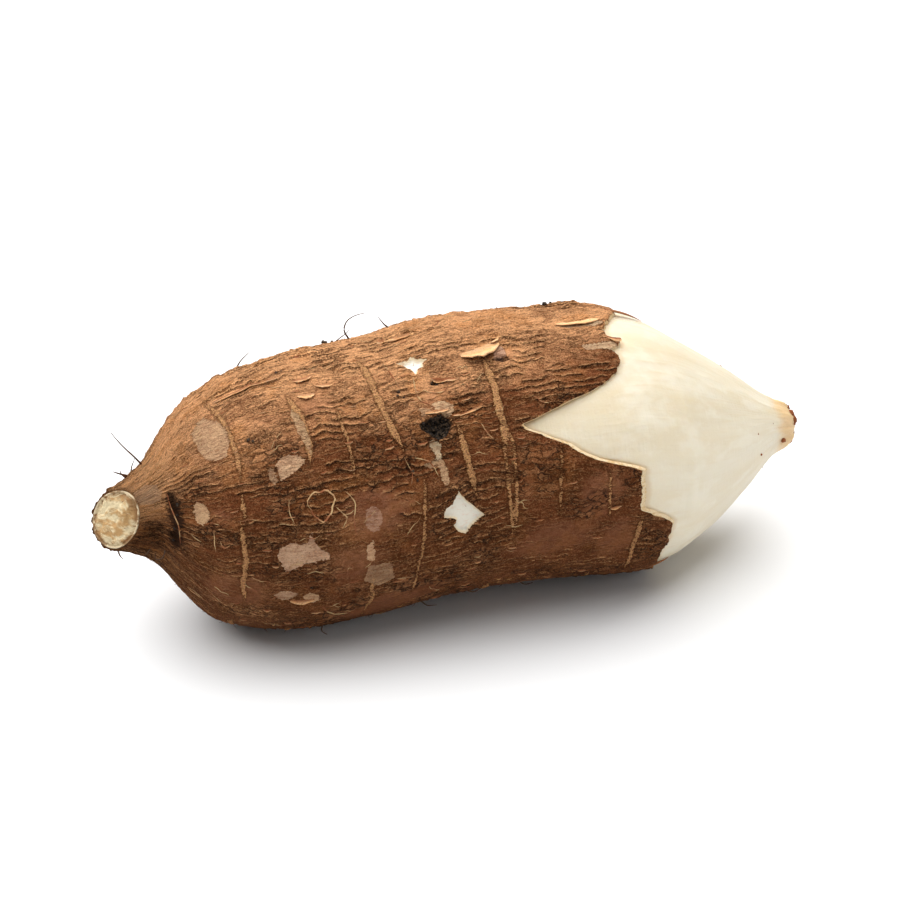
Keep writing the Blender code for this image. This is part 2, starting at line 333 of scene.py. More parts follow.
# Places where the peel is knocked off: depth, then the outline
CHIPS = (
    (1.5, ((88.4, 11.6), (91.2, 12.6), (92.6, 12), (93.9, 10.2), (94.9, 12.9), (98.4, 14.6),
           (96, 16.2), (96.3, 18.8), (94.4, 18.4), (93, 22), (92.2, 17.8), (90.4, 14.6))),
    (1.5, ((97.4, 74.3), (99.2, 78.2), (101.8, 82.5), (104.8, 86.8), (102.5, 88.8), (100.5, 90.8),
           (99.4, 94), (96.9, 92.2), (95.4, 88.5), (96.4, 86), (94.9, 85), (92.5, 83.8),
           (93.2, 80.5), (95.4, 79.2))),
)
SOIL_DEPTH = 2.6
SOIL_PIT = (
    (89.4, 44), (92.2, 43.2), (94.9, 42), (96.8, 42.8), (98.2, 44.8), (98.9, 47.5), (97.6, 50),
    (96.1, 52.2), (94.2, 52.8), (92.4, 51), (91, 48.2), (89.5, 46.5),
)
SOIL_MIDDLE = (94.4, 47.2)
# Small dark pits: along, turn, half length, half width, depth
PITS = (
    (98, 28, 2.8, 1.2, 1.3), (55, 1, 2.2, 1.0, 1.0), (41, 34, 1.3, 1.2, 0.8),
    (54, 105, 3.2, 0.8, 0.9), (49, 104, 1.6, 0.6, 0.7), (62, 12, 1.4, 0.7, 0.6),
    (103, 44, 1.6, 1.0, 0.9), (119, 22.6, 2.8, 1.5, 1.4), (84, 60, 1.4, 2.6, 0.9),
    (86, 66, 1.0, 2.2, 0.7), (75, -70, 2.0, 1.2, 0.9), (110, -110, 1.6, 1.6, 0.8),
    (50, -95, 1.4, 1.0, 0.7), (19.2, 58, 1.3, 5.0, 1.0), (18.6, 84, 1.2, 5.4, 1.0),
    (57.4, 67.4, 2.7, 2.7, 0.45),
)
# The fold between neck and shoulder, darkened with painted shade
FOLD = (
    (17.6, 44), (19.2, 47), (20.6, 54), (21, 62), (20.8, 72), (20.2, 84), (19.6, 93), (18, 99),
    (17, 92), (17.6, 80), (17.4, 68), (17.6, 56),
)
LEAST_RISE = 1e-9           # of an outline's side, so that none is divided by zero


def outline_distance(along, turn, points):
    """Millimetres from each place to an outline in along and turn, positive inside it."""
    outline = np.array(points, float)
    middle = outline.mean(axis=0)
    scale = math.radians(1.0) * GRAIN_RADIUS
    flat = np.stack((along - middle[0], around(turn, middle[1]) * scale), axis=-1)
    corners = (outline - middle) * (1.0, scale)
    nearest = np.full(along.shape, np.inf)
    inside = np.zeros(along.shape, bool)
    for start, end in zip(corners, np.roll(corners, -1, axis=0)):
        side = end - start
        share = np.clip(((flat - start) @ side) / (side @ side), 0.0, 1.0)
        gap = flat - start - share[..., None] * side
        nearest = np.minimum(nearest, np.hypot(gap[..., 0], gap[..., 1]))
        crosses = (start[1] > flat[..., 1]) != (end[1] > flat[..., 1])
        rise = side[1] if abs(side[1]) > LEAST_RISE else LEAST_RISE
        inside ^= crosses & (flat[..., 0] < start[0] + (flat[..., 1] - start[1]) * side[0] / rise)
    return np.where(inside, nearest, -nearest)


def oval_distance(along, turn, mark):
    """Millimetres inside an oval given by its middle and half sizes."""
    middle_along, middle_turn, half_length, half_width = mark[:4]
    flat = np.hypot(
        (along - middle_along) / half_length,
        np.radians(around(turn, middle_turn)) * GRAIN_RADIUS / half_width,
    )
    return (1.0 - flat) * min(half_length, half_width)


def ring_distance(along, turn, grain):
    """Millimetres inside the nearest growth ring, which narrows to nothing at its two ends."""
    ragged = 1.0 + 0.28 * layers(grain / 1.9, 2, 71)
    wander = 0.35 * noise(grain / (9.0, 5.0, 5.0), 72)
    best = np.full(along.shape, OUTSIDE)
    for half_width, points in RINGS:
        places, turns = np.array(points, float).T
        here = around(turn, turns.mean()) + turns.mean()
        middle = np.interp(here, turns, places)
        ends = np.minimum(here - turns[0], turns[-1] - here)
        taper = smooth(*RING_TAPER, ends)
        reach = RING_SHARE * half_width * ragged * taper - np.abs(along - middle - wander)
        best = np.maximum(best, np.where(ends > RING_TAPER[0], reach, OUTSIDE))
    angle = np.radians(turn)
    turned = around(turn, 0.0)
    far = 1.0 - smooth(*FAR_ABOVE, turned) * smooth(*FAR_BELOW, turned)
    for number, place in enumerate(FAR_RINGS):
        chance = np.stack((0 * angle + 7.3 * number, 2.4 * np.sin(angle), 2.4 * np.cos(angle)), -1)
        patchy = smooth(-0.1, 0.4, noise(chance, 73)) * far
        bow = 1.8 * np.sin(2 * angle + number) + 1.1 * noise(chance * (1.0, 2.2, 2.2), 74)
        half_width = FAR_RING_HALF_WIDTH * (0.75 + 0.4 * math.sin(2.3 * number))
        reach = half_width * ragged * patchy - np.abs(along - place - bow - wander)
        best = np.maximum(best, np.where(far > 0.0, reach, OUTSIDE))
    return np.maximum(best, OUTSIDE)


# ---------------------------------------------------------------------------
# Bark relief
# ---------------------------------------------------------------------------

SHINGLES = 112              # wrinkle lines round the root
FINE_SHINGLES = 190         # finer lines between them, in the finish only
ARC_PLACES = np.linspace(STATIONS[0, 0], TIP_ALONG, 900)        # where the length is measured


def measure_arcs():
    """Length over the surface from the first station to each place, by adding short slopes."""
    _, _, half_width, half_height = form(ARC_PLACES)
    rise = np.gradient((half_width + half_height) / 2, ARC_PLACES)
    return np.concatenate(((0.0,), np.cumsum(np.hypot(1.0, rise[1:]) * np.diff(ARC_PLACES))))


ARCS = measure_arcs()


def arc_along(along):
    """Length measured over the surface, so that the pattern isn't stretched on the shoulder."""
    return np.interp(along, ARC_PLACES, ARCS)


def along_between(first, last, share):
    """Places at shares of the way from one to another, measured over the surface."""
    start = arc_along(first)
    return np.interp(start + share * (arc_along(last) - start), ARCS, ARC_PLACES)


def grain_place(along, turn):
    """Where a place of the surface lies on the straight round bar that carries the pattern."""
    angle = np.radians(turn)
    return np.stack((
        arc_along(along),
        GRAIN_RADIUS * np.sin(angle),
        GRAIN_RADIUS * np.cos(angle),
    ), axis=-1)


def shingles(grain, turn):
    """Long low plates that overlap like shingles: a sawtooth round the root whose lines slant
    slowly, wave and jag along the root. Returns the height from 0 to 1, and the phase as a
    turning pair (cosine, sine, 0), which has no jump between one plate and the next."""
    bend = 1.0 * layers(grain / (30.0, 36.0, 36.0), 2, 11)
    bend += 0.45 * noise(grain / (6.5, 15.0, 15.0), 14)
    bend += 0.26 * layers(grain / (2.3, 5.0, 5.0), 2, 16)
    phase = (turn / 360.0 * SHINGLES + bend) % 1.0
    plate = phase ** 1.3 * (1.0 - smooth(0.84, 0.99, phase))
    cycle = 2 * math.pi * phase
    return plate, np.stack((np.cos(cycle), np.sin(cycle), 0 * cycle), axis=-1)


def bark_marks(along, turn):
    """Every mark on the bark at each place, as millimetres inside it or as a share."""
    grain = grain_place(along, turn)
    fray = 0.16 * layers(grain / 1.1, 2, 41)
    marks = {"grain": grain}
    chips = [outline_distance(along, turn, outline) + fray for _, outline in CHIPS]
    marks["chip"] = np.max(chips, axis=0)
    marks["chip_depth"] = np.max([
        depth * smooth(-0.1, 0.55, distance) for (depth, _), distance in zip(CHIPS, chips)
    ], axis=0)
    marks["soil"] = outline_distance(along, turn, SOIL_PIT) + fray
    scuffs = np.stack([outline_distance(along, turn, scuff[2]) for scuff in SCUFFS])
    nearest = np.argmax(scuffs, axis=0)
    marks["scuff"] = np.max(scuffs, axis=0) + fray * 1.2 + 0.28 * layers(grain / 3.2, 2, 43)
    marks["scuff_tone"] = np.array([scuff[0] for scuff in SCUFFS])[nearest]
    marks["scuff_strength"] = np.array([scuff[1] for scuff in SCUFFS])[nearest]
    marks["ring"] = ring_distance(along, turn, grain)
    pits = [oval_distance(along, turn, pit) + fray * 1.8 for pit in PITS]
    marks["pit_depth"] = np.max([
        pit[4] * smooth(-0.3, 0.9, distance) for pit, distance in zip(PITS, pits)
    ], axis=0)
    worn = np.max([oval_distance(along, turn, oval) / 3.0 for oval in WORN], axis=0)
    worn += 0.8 * layers(grain / (14.0, 7.0, 7.0), 3, 51)
    marks["worn"] = smooth(-0.2, 1.6, worn)
    drift = 0.5 * layers(grain / (18.0, 9.0, 9.0), 3, 55)
    # Tan top: partly dust, partly painted top light, strongest round a line near the top that moves
    # round on the neck; lower counts turns from that line
    lower = np.abs(around(turn, -12.0 + 26.0 * smooth(32.0, 14.0, along)))
    dust_and_top_light = 1.08 * smooth(66.0, 12.0, lower) - 0.20 * smooth(115.0, 145.0, along)
    marks["dust_and_top_light"] = np.clip(dust_and_top_light + 0.55 * drift, 0.0, 1.0)
    # Painted shade: darker towards the bottom and on the neck's lower side
    neck = smooth(20.0, 15.0, along) * smooth(45.0, 75.0, lower + 12.0 * drift)
    marks["shade"] = smooth(45.0, 115.0, lower + 20.0 * drift) + 0.45 * neck
    # Painted shade in the fold, and a darker colour in the pits
    fold = outline_distance(along, turn, FOLD) + 1.6 * drift + 5.0 * fray
    marks["painted_shade_and_stain"] = np.maximum(smooth(-1.4, 1.4, fold), 0.8 * smooth(0.1, 0.9, marks["pit_depth"]))
    return marks


def bark_relief(along, turn, marks):
    """Height of the bark over its smooth form in millimetres. Slow swelling, overlapping plates,
    bolder in places, fine nubs and knobs are added up, levelled on worn and scraped places, and
    cut by the scars. Adds the plates' phase and how strongly they show to the marks."""
    grain = marks["grain"]
    rough = 1.0 - 0.7 * marks["worn"]
    swell = 0.40 * layers(grain / (24.0, 17.0, 17.0), 3, 1)
    swell += 0.16 * layers(grain / (7.0, 4.0, 4.0), 2, 5)
    plates, marks["wave"] = shingles(grain, turn)
    region = smooth(-0.7, 0.1, noise(grain / (20.0, 13.0, 13.0), 13))
    presence = smooth(-0.35, 0.30, layers(grain / (8.0, 2.8, 2.8), 2, 15)) * region * rough
    bold = smooth(-0.15, 0.40, noise(grain / (12.0, 5.0, 5.0), 31)) * presence
    nubs = layers(grain / (1.5, 1.1, 1.1), 3, 35)
    scuff = smooth(-0.2, 0.3, marks["scuff"]) * marks["scuff_strength"]
    ring = smooth(-0.25, 0.20, marks["ring"])
    calm = 1.0 - 0.85 * np.maximum(scuff, smooth(-0.4, 0.2, marks["chip"]))
    calm = calm * (1.0 - 0.7 * ring)
    marks["presence"] = presence * calm
    by_neck = 1.0 - 0.4 * smooth(32.0, 14.0, along)
    rise = (0.60 * presence + 0.70 * bold) * (plates - 0.4) * by_neck
    rise += 0.21 * nubs * (0.35 + 0.65 * rough)
    knobs = smooth(0.35, 0.9, layers(grain / (4.2, 3.0, 3.0), 2, 39))
    rise += 0.55 * knobs * smooth(70.0, 40.0, np.abs(around(turn, -5.0))) * rough
    rise += 0.20 * layers(grain / 1.2, 2, 37) * smooth(8.0, 1.0, along)
    height = swell + rise * calm
    beside = smooth(-0.9, -0.2, marks["ring"]) * smooth(0.3, -0.1, marks["ring"])
    height += 0.30 * ring * (0.7 + 0.9 * layers(grain / 0.9, 2, 61)) - 0.18 * beside
    height -= 0.20 * scuff + marks["chip_depth"] + marks["pit_depth"]
    height -= SOIL_DEPTH * smooth(-0.3, 1.5, marks["soil"])
    return height + 0.5 * smooth(-2.2, -0.4, marks["soil"]) * smooth(0.4, -0.4, marks["soil"])


# ---------------------------------------------------------------------------
# Mesh making
# ---------------------------------------------------------------------------

NO_TRIANGLES = np.empty((0, 3), int)
# Where each piece's chance starts from
SEEDS = {"threads": 41, "bristles": 53, "flakes": 11, "soil": 23, "specks": 31}


def grid_faces(rows, columns, closed=True):
    """Quads of a grid whose points run column by column round each row."""
    row = np.arange(rows - 1)[:, None] * columns
    column = np.arange(columns if closed else columns - 1)[None, :]
    beside = (column + 1) % columns
    quads = np.stack((row + column, row + beside, row + columns + beside, row + columns + column),
                     axis=-1)
    return quads.reshape(-1, 4)


def capped_faces(rows, columns):
    """Quads of a closed grid, and triangles from its first and last rows to the two points that
    follow it."""
    corner = np.arange(columns)
    beside = (corner + 1) % columns
    count, last = rows * columns, (rows - 1) * columns
    start = np.stack((0 * corner + count, beside, corner), axis=-1)
    end = np.stack((0 * corner + count + 1, last + corner, last + beside), axis=-1)
    return grid_faces(rows, columns), np.concatenate((start, end))


def repeated(faces, step, count):
    """The same faces for each of several shapes whose points lie a step apart."""
    return (faces[None] + (np.arange(count) * step)[:, None, None]).reshape(-1, faces.shape[1])


def repeated_caps(rows, columns, count):
    """Quads and triangles of several capped grids."""
    step = rows * columns + 2
    return [repeated(faces, step, count) for faces in capped_faces(rows, columns)]


def make_piece(name, points, quads, triangles, material, attributes=None):
    """Mesh object of these points and faces, riding with the root, its shells facing outwards."""
    mesh = bpy.data.meshes.new(name)
    mesh.vertices.add(len(points))
    mesh.vertices.foreach_set("co", np.asarray(points, np.float32).ravel())
    corners = np.concatenate((quads.ravel(), triangles.ravel())).astype(np.int32)
    mesh.loops.add(len(corners))
    mesh.loops.foreach_set("vertex_index", corners)
    sizes = np.repeat((4, 3), (len(quads), len(triangles)))
    mesh.polygons.add(len(sizes))
    starts = np.concatenate(((0,), np.cumsum(sizes)[:-1])).astype(np.int32)
    mesh.polygons.foreach_set("loop_start", starts)
    mesh.update(calc_edges=True)
    mesh.validate()
    for key, values in (attributes or {}).items():
        kind, field = ("FLOAT_VECTOR", "vector") if values.ndim == 2 else ("FLOAT", "value")
        layer = mesh.attributes.new(key, kind, "POINT")
        layer.data.foreach_set(field, np.asarray(values, np.float32).ravel())
    work = bmesh.new()
    work.from_mesh(mesh)
    bmesh.ops.recalc_face_normals(work, faces=work.faces)
    work.to_mesh(mesh)
    work.free()
    mesh.shade_smooth()
    mesh.materials.append(material)
    piece = bpy.data.objects.new(name, mesh)
    bpy.context.scene.collection.objects.link(piece)
    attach(piece, "root")
    return piece


def curve_points(controls, count):
    """Smooth curve through given points: cubic pieces with slopes from their neighbours."""
    controls = np.asarray(controls, float)
    padded = np.concatenate((2 * controls[:1] - controls[1:2], controls,
                             2 * controls[-1:] - controls[-2:-1]))
    place = np.linspace(0.0, len(controls) - 1.0, count)
    piece = np.minimum(place.astype(int), len(controls) - 2)
    t = (place - piece)[:, None]
    before, start, end, after = (padded[piece + step] for step in range(4))
    return 0.5 * (
        2 * start + (end - before) * t
        + (2 * before - 5 * start + 4 * end - after) * t ** 2
        + (3 * start - before - 3 * end + after) * t ** 3
    )


STEEP = 0.7                 # a path's share of height past which its rings are squared to Y


def tubes(paths, radii, sides):
    """Round tubes along a stack of equally long paths, each closed by a point at both ends. Their
    rings stand square to the path."""
    forward = np.gradient(paths, axis=1)
    forward /= np.linalg.norm(forward, axis=-1, keepdims=True)
    steep = np.abs(forward.mean(axis=1, keepdims=True)[..., 2:3]) > STEEP
    helper = np.where(steep, (0.0, 1.0, 0.0), (0.0, 0.0, 1.0))
    first = np.cross(forward, helper)
    first /= np.linalg.norm(first, axis=-1, keepdims=True)
    second = np.cross(forward, first)
    angle = np.linspace(0.0, 2 * math.pi, sides, endpoint=False)[:, None]
    rings = paths[:, :, None] + radii[..., None, None] * (
        np.cos(angle) * first[:, :, None] + np.sin(angle) * second[:, :, None]
    )
    count, rows = paths.shape[:2]
    points = np.concatenate((rings.reshape(count, -1, 3), paths[:, :1], paths[:, -1:]), axis=1)
    return points.reshape(-1, 3), *repeated_caps(rows, sides, count)


LUMP_RINGS, LUMP_COLUMNS = 4, 7


def lumps(middles, sizes, chance):
    """Closed rough grains: balls of rings and columns with their radii varied by chance."""
    rings, columns, count = LUMP_RINGS, LUMP_COLUMNS, len(middles)
    polar = np.linspace(0.0, math.pi, rings + 2)[1:-1, None]
    angle = np.linspace(0.0, 2 * math.pi, columns, endpoint=False)[None, :]
    ball = np.stack((
        np.sin(polar) * np.cos(angle), np.sin(polar) * np.sin(angle), np.cos(polar) + 0 * angle,
    ), axis=-1)
    ball = ball * chance.uniform(0.65, 1.15, (count, rings, columns, 1))
    ball = (ball * chance.uniform(0.6, 1.2, (count, 1, 1, 3))).reshape(count, -1, 3)
    poles = np.broadcast_to(((0.0, 0.0, 0.8), (0.0, 0.0, -0.8)), (count, 2, 3))
    points = np.concatenate((ball, poles), axis=1) * np.reshape(sizes, (-1, 1, 1)) * MM
    points = points + np.asarray(middles)[:, None]
    return points.reshape(-1, 3), *repeated_caps(rings, columns, count)


# ---------------------------------------------------------------------------
# Materials
# ---------------------------------------------------------------------------


class Finish:
    """One material's node tree, with short ways to add and link its nodes."""

    def __init__(self, name):
        self.material = bpy.data.materials.new(name)
        self.material.use_nodes = True
        self.tree = self.material.node_tree
        self.shader = self.tree.nodes["Principled BSDF"]
        self.colour = None

    def put(self, target, value):
        if isinstance(value, bpy.types.NodeSocket):
            self.tree.links.new(value, target)
        elif target.type == "RGBA" and len(value) == 3:
            target.default_value = (*value, 1.0)
        else:
            target.default_value = value

    def set(self, **values):
        for key, value in values.items():
            self.put(self.shader.inputs[key.replace("_", " ")], value)

    def attribute(self, name, field="Fac"):
        node = self.tree.nodes.new("ShaderNodeAttribute")
        node.attribute_name = name
        return node.outputs[field]

    def place(self):
        """Object coordinates in millimetres."""
        node = self.tree.nodes.new("ShaderNodeTexCoord")
        return self.scaled(node.outputs["Object"], (1 / MM, 1 / MM, 1 / MM))

    def scaled(self, vector, factors):
        node = self.tree.nodes.new("ShaderNodeVectorMath")
        node.operation = "MULTIPLY"
        self.put(node.inputs[0], vector)
        self.put(node.inputs[1], factors)
        return node.outputs[0]

    def math(self, operation, first, second=0.0, third=0.0, clamp=False):
        node = self.tree.nodes.new("ShaderNodeMath")
        node.operation = operation
        node.use_clamp = clamp
        for target, value in zip(node.inputs, (first, second, third)):
            self.put(target, value)
        return node.outputs[0]

    def line(self, value, slope, start):
        """The value times a slope, and a start added."""
        return self.math("MULTIPLY_ADD", value, slope, start)

    def centred(self, value):
        """Less a half, so that noise swings about zero."""
        return self.math("SUBTRACT", value, 0.5)

    def rest(self, value):
        """What the value leaves of 1."""
        return self.math("SUBTRACT", 1.0, value)

    def total(self, *values):
        result = values[0]
        for value in values[1:]:
            result = self.math("ADD", result, value)
        return result

    def times(self, *values):
        result = values[0]
        for value in values[1:]:
            result = self.math("MULTIPLY", result, value)
        return result

    def noise(self, vector, factors=None, scale=1.0, detail=2.0, roughness=0.5, distortion=0.0):
        """Noise from 0 to 1, mostly between 0.3 and 0.7, of the vector times the factors."""
        node = self.tree.nodes.new("ShaderNodeTexNoise")
        self.put(node.inputs["Vector"], self.scaled(vector, factors) if factors else vector)
        settings = (("Scale", scale), ("Detail", detail), ("Roughness", roughness),
                    ("Distortion", distortion))
        for key, value in settings:
            node.inputs[key].default_value = value
        return node.outputs["Fac"]

    def cells(self, vector, scale=1.0, feature="F1", output="Distance"):
        node = self.tree.nodes.new("ShaderNodeTexVoronoi")
        node.feature = feature
        self.put(node.inputs["Vector"], vector)
        node.inputs["Scale"].default_value = scale
        return node.outputs[output]

    def warped(self, vector, scale, amount):
        """The place pushed about by noise of this scale, by up to the amount on each axis."""
        noise = self.tree.nodes.new("ShaderNodeTexNoise")
        self.put(noise.inputs["Vector"], vector)
        noise.inputs["Scale"].default_value = scale
        node = self.tree.nodes.new("ShaderNodeVectorMath")
        node.operation = "MULTIPLY_ADD"
        for target, value in zip(node.inputs, (noise.outputs["Color"], (amount,) * 3, vector)):
            self.put(target, value)
        return node.outputs[0]

    def rise(self, value, low, high, start=0.0, end=1.0):
        """S-shaped rise from start to end as the value goes from low to high."""
        node = self.tree.nodes.new("ShaderNodeMapRange")
        node.interpolation_type = "SMOOTHSTEP"
        for target, item in zip(node.inputs, (value, low, high, start, end)):
            self.put(target, item)
        return node.outputs[0]

    def split(self, vector):
        """The vector's outputs X, Y and Z."""
        node = self.tree.nodes.new("ShaderNodeSeparateXYZ")
        self.put(node.inputs[0], vector)
        return node.outputs

    def mix(self, share, first, second):
        """Share of the second colour in a blend with the first."""
        node = self.tree.nodes.new("ShaderNodeMix")
        node.data_type = "RGBA"
        self.put(node.inputs["Factor"], share)
        colours = [item for item in node.inputs if item.type == "RGBA"]
        self.put(colours[0], first)
        self.put(colours[1], second)
        return [item for item in node.outputs if item.type == "RGBA"][0]

    def coat(self, paint, *shares):
        """Lays a colour over those already there, by the product of its shares."""
        self.colour = self.mix(self.times(*shares), self.colour, paint)

    def bump(self, height_mm):
        """Shading for relief whose height is in millimetres."""
        node = self.tree.nodes.new("ShaderNodeBump")
        node.inputs["Strength"].default_value = 1.0
        node.inputs["Distance"].default_value = MM
        self.put(node.inputs["Height"], height_mm)
        self.put(self.shader.inputs["Normal"], node.outputs[0])


def plate_lines(finish, phase, here):
    """The crack under each plate's lower edge, darkened as painted shadow, the lip above it lit as
    a painted highlight and the painted shade below it, from the phase round the root and how
    strongly the plates show."""
    crack = finish.times(finish.rise(phase, 0.82, 0.90), finish.rise(phase, 1.0, 0.97), here)
    lip = finish.times(finish.rise(phase, 0.56, 0.78), finish.rise(phase, 0.88, 0.82), here)
    below = finish.times(finish.rise(phase, 0.30, 0.02), here)
    return crack, lip, below


def bark_finish(colours):
    """Wrinkled brown bark: a crack darkened as painted shadow and a lip lit as a painted highlight
    at each plate's edge, sandy grain, tan growth rings, scraped patches, cream where the peel is
    chipped through, and black soil. The top is tan, partly dust and partly painted top light, and
    the underside and the neck's fold are darker with painted shade."""
    finish = Finish("bark")
    grain = finish.attribute("grain", "Vector")
    sand = finish.noise(grain, (2.2, 2.6, 2.6), detail=1.5, roughness=0.7)
    grit = finish.noise(grain, (1.25, 1.7, 1.7), detail=2.5, roughness=0.75)
    fine = finish.noise(grain, (0.60, 1.1, 1.1), detail=4.0, roughness=0.65)
    streak = finish.noise(grain, (0.17, 0.80, 0.80), detail=4.0, roughness=0.6)
    blotch = finish.noise(grain, (0.07, 0.10, 0.10), detail=3.0, roughness=0.55)
    fibre = finish.noise(grain, (0.50, 3.0, 3.0), detail=2.0, roughness=0.6)
    wobble = finish.line(fine, 1.1, -0.55)
    shiver = finish.centred(grit)

    worn = finish.attribute("worn")
    dust_and_top_light = finish.attribute("dust_and_top_light")
    shade = finish.attribute("shade")

    # The relief's own plates, whose phase comes as a turning pair
    pair = finish.split(finish.attribute("wave", "Vector"))
    cycle = finish.math("ARCTAN2", pair["Y"], pair["X"])
    phase = finish.line(cycle, 1 / (2 * math.pi), finish.times(shiver, 0.35))
    phase = finish.math("FRACT", phase)
    here = finish.total(finish.attribute("presence"), finish.times(wobble, 0.7))
    here = finish.rise(here, 0.20, 0.50)
    crack, lip, below = plate_lines(finish, phase, here)

    # A finer set of lines between those, whose phase is worked out from the place itself
    place = finish.split(grain)
    cycle = finish.math("ARCTAN2", place["Y"], place["Z"])
    slant = finish.noise(grain, (0.07, 0.05, 0.05), detail=2.0)
    wave = finish.noise(grain, (0.40, 0.16, 0.16), detail=2.0, roughness=0.6)
    bend = finish.total(finish.times(slant, 5.0), finish.times(wave, 2.2))
    bend = finish.total(bend, finish.times(shiver, 0.9))
    fine_phase = finish.line(cycle, FINE_SHINGLES / (2 * math.pi), bend)
    fine_phase = finish.math("FRACT", fine_phase)
    patches = finish.noise(grain, (0.14, 0.40, 0.40), detail=2.0)
    free = finish.rest(finish.times(worn, 0.45))
    fine_here = finish.times(finish.rise(patches, 0.44, 0.56), free)
    fine_crack, fine_lip, _ = plate_lines(finish, fine_phase, fine_here)

    # Long scales parted by cracks, each of its own tone
    scale_place = finish.scaled(finish.warped(grain, 0.35, 3.2), (0.20, 0.58, 0.58))
    scale_gap = finish.cells(scale_place, feature="DISTANCE_TO_EDGE")
    scale_gap = finish.total(scale_gap, finish.times(shiver, 0.12))
    scale_tone = finish.cells(scale_place, output="Color")
    where = finish.noise(grain, (0.055, 0.075, 0.075), detail=3.0, roughness=0.6)
    where = finish.total(where, finish.times(dust_and_top_light, 0.05), finish.times(worn, -0.14))
    scaly = finish.rise(where, 0.47, 0.57)
    # Painted light and shade on the scales: tan ones stronger on the lit top, dark ones and their
    # gaps stronger below
    lit = finish.line(dust_and_top_light, 0.75, 0.25)
    unlit = finish.line(dust_and_top_light, -0.50, 1.0)

    # The skin's own browns, then a tan top, partly dust and partly painted top light, orange
    # patches stronger on top, and painted shade darker below
    finish.colour = finish.mix(finish.rise(blotch, 0.38, 0.62), colours.bark_dark, colours.bark_red)
    finish.coat(colours.bark_mid, finish.rise(streak, 0.36, 0.66, 0.0, 0.75))
    finish.coat(colours.bark_worn, worn, finish.rise(fine, 0.3, 0.6, 0.30, 0.75))
    dust_and_light_breakup = finish.total(streak, finish.times(shiver, 0.5))
    finish.coat(colours.bark_tan, dust_and_top_light, finish.rise(dust_and_light_breakup, 0.30, 0.56, 0.58, 1.0))
    glow = finish.noise(grain, (0.10, 0.09, 0.09), detail=3.0, roughness=0.6)
    finish.coat(colours.bark_orange, finish.rise(glow, 0.50, 0.64), finish.line(dust_and_top_light, 0.35, 0.20))
    finish.coat(colours.bark_red, finish.rise(glow, 0.46, 0.34), 0.55)
    finish.coat(colours.bark_dark, shade, 0.50)

    # Cords of the neck, where the pattern's fine scales are squeezed too narrow to show; the neck's
    # top is tan, partly dust and partly painted top light
    cord = finish.noise(grain, (0.08, 0.20, 0.20), detail=4.0, roughness=0.7)
    neck = finish.rise(place["X"], 33.0, 22.0)
    finish.coat(colours.lip, neck, dust_and_top_light, 0.60)
    finish.coat(colours.bark_orange, neck, finish.rise(cord, 0.50, 0.60, 0.0, 0.55))
    finish.coat(colours.crack, neck, finish.rise(cord, 0.47, 0.38, 0.0, 0.75))

    # Scales, tan on the lit top and dark below as painted light and shade, then painted shade under
    # the plates, the plates' lit lips as painted highlight, and the cracks of all three darkened as
    # painted shadow, weaker on top
    finish.coat(colours.bark_tan, finish.rise(scale_tone, 0.50, 0.72), scaly, lit, 0.60)
    finish.coat(colours.bark_dark, finish.rise(scale_tone, 0.48, 0.28), scaly, unlit, 0.45)
    finish.coat(colours.bark_dark, below, 0.60)
    lip = finish.math("MAXIMUM", lip, finish.times(fine_lip, 0.55))
    lip = finish.times(lip, finish.rise(grit, 0.38, 0.56, 0.20, 1.0))
    finish.coat(colours.lip, lip, finish.line(dust_and_top_light, 0.45, 0.50))
    crack = finish.math("MAXIMUM", crack, finish.times(fine_crack, 0.80))
    gap = finish.times(finish.rise(scale_gap, 0.11, 0.02), scaly, unlit)
    crack = finish.math("MAXIMUM", crack, gap)
    crack = finish.times(crack, finish.rise(grit, 0.28, 0.46, 0.55, 1.0))
    crack = finish.times(crack, finish.line(dust_and_top_light, -0.35, 1.0))
    finish.coat(colours.crack, crack)

    # Sand: pale grains and dark gaps, fewer on worn skin; the pale grains stronger and the dark
    # ones fewer on the tan top, which is partly painted top light
    sandy = finish.rest(finish.times(worn, 0.70))
    dark_grain_share = finish.times(sandy, finish.line(dust_and_top_light, -0.45, 1.0))
    finish.coat(colours.bark_dark, finish.rise(fine, 0.48, 0.36, 0.0, 0.75), dark_grain_share)
    ridge = finish.rise(fine, 0.55, 0.66, 0.0, 0.60)
    finish.coat(colours.bark_tan, ridge, sandy, finish.line(dust_and_top_light, 0.70, 0.30))
    finish.coat(colours.lip, finish.rise(sand, 0.54, 0.66), finish.line(dust_and_top_light, 0.55, 0.17), sandy)
    finish.coat(colours.bark_dark, finish.rise(sand, 0.46, 0.34, 0.0, 0.70), dark_grain_share)
    finish.coat(colours.crack, finish.rise(grit, 0.38, 0.28, 0.0, 0.80), dark_grain_share)

    # Growth rings, with a dark rim
    ring = finish.total(finish.attribute("ring"), finish.times(shiver, 1.9))
    finish.coat(colours.bark_dark, finish.rise(ring, -0.60, -0.15), 0.60)
    ring = finish.rise(ring, -0.10, 0.12)
    ring_tan = finish.mix(finish.rise(sand, 0.42, 0.58), colours.bark_tan, colours.ring_tan)
    ring_tan = finish.mix(finish.rise(sand, 0.47, 0.39, 0.0, 0.65), ring_tan, colours.bark_red)
    ring_tan = finish.mix(finish.rise(grit, 0.41, 0.34, 0.0, 0.85), ring_tan, colours.bark_dark)
    # Painted shade: rings darker towards the bottom
    ring_tan = finish.mix(finish.times(shade, 0.15), ring_tan, colours.bark_mid)
    finish.coat(ring_tan, ring, 0.97)

    # Scrapes: pinkish grey, tan or cream by their tone
    scuff = finish.total(finish.attribute("scuff"), finish.times(shiver, 1.9))
    strength = finish.attribute("scuff_strength")
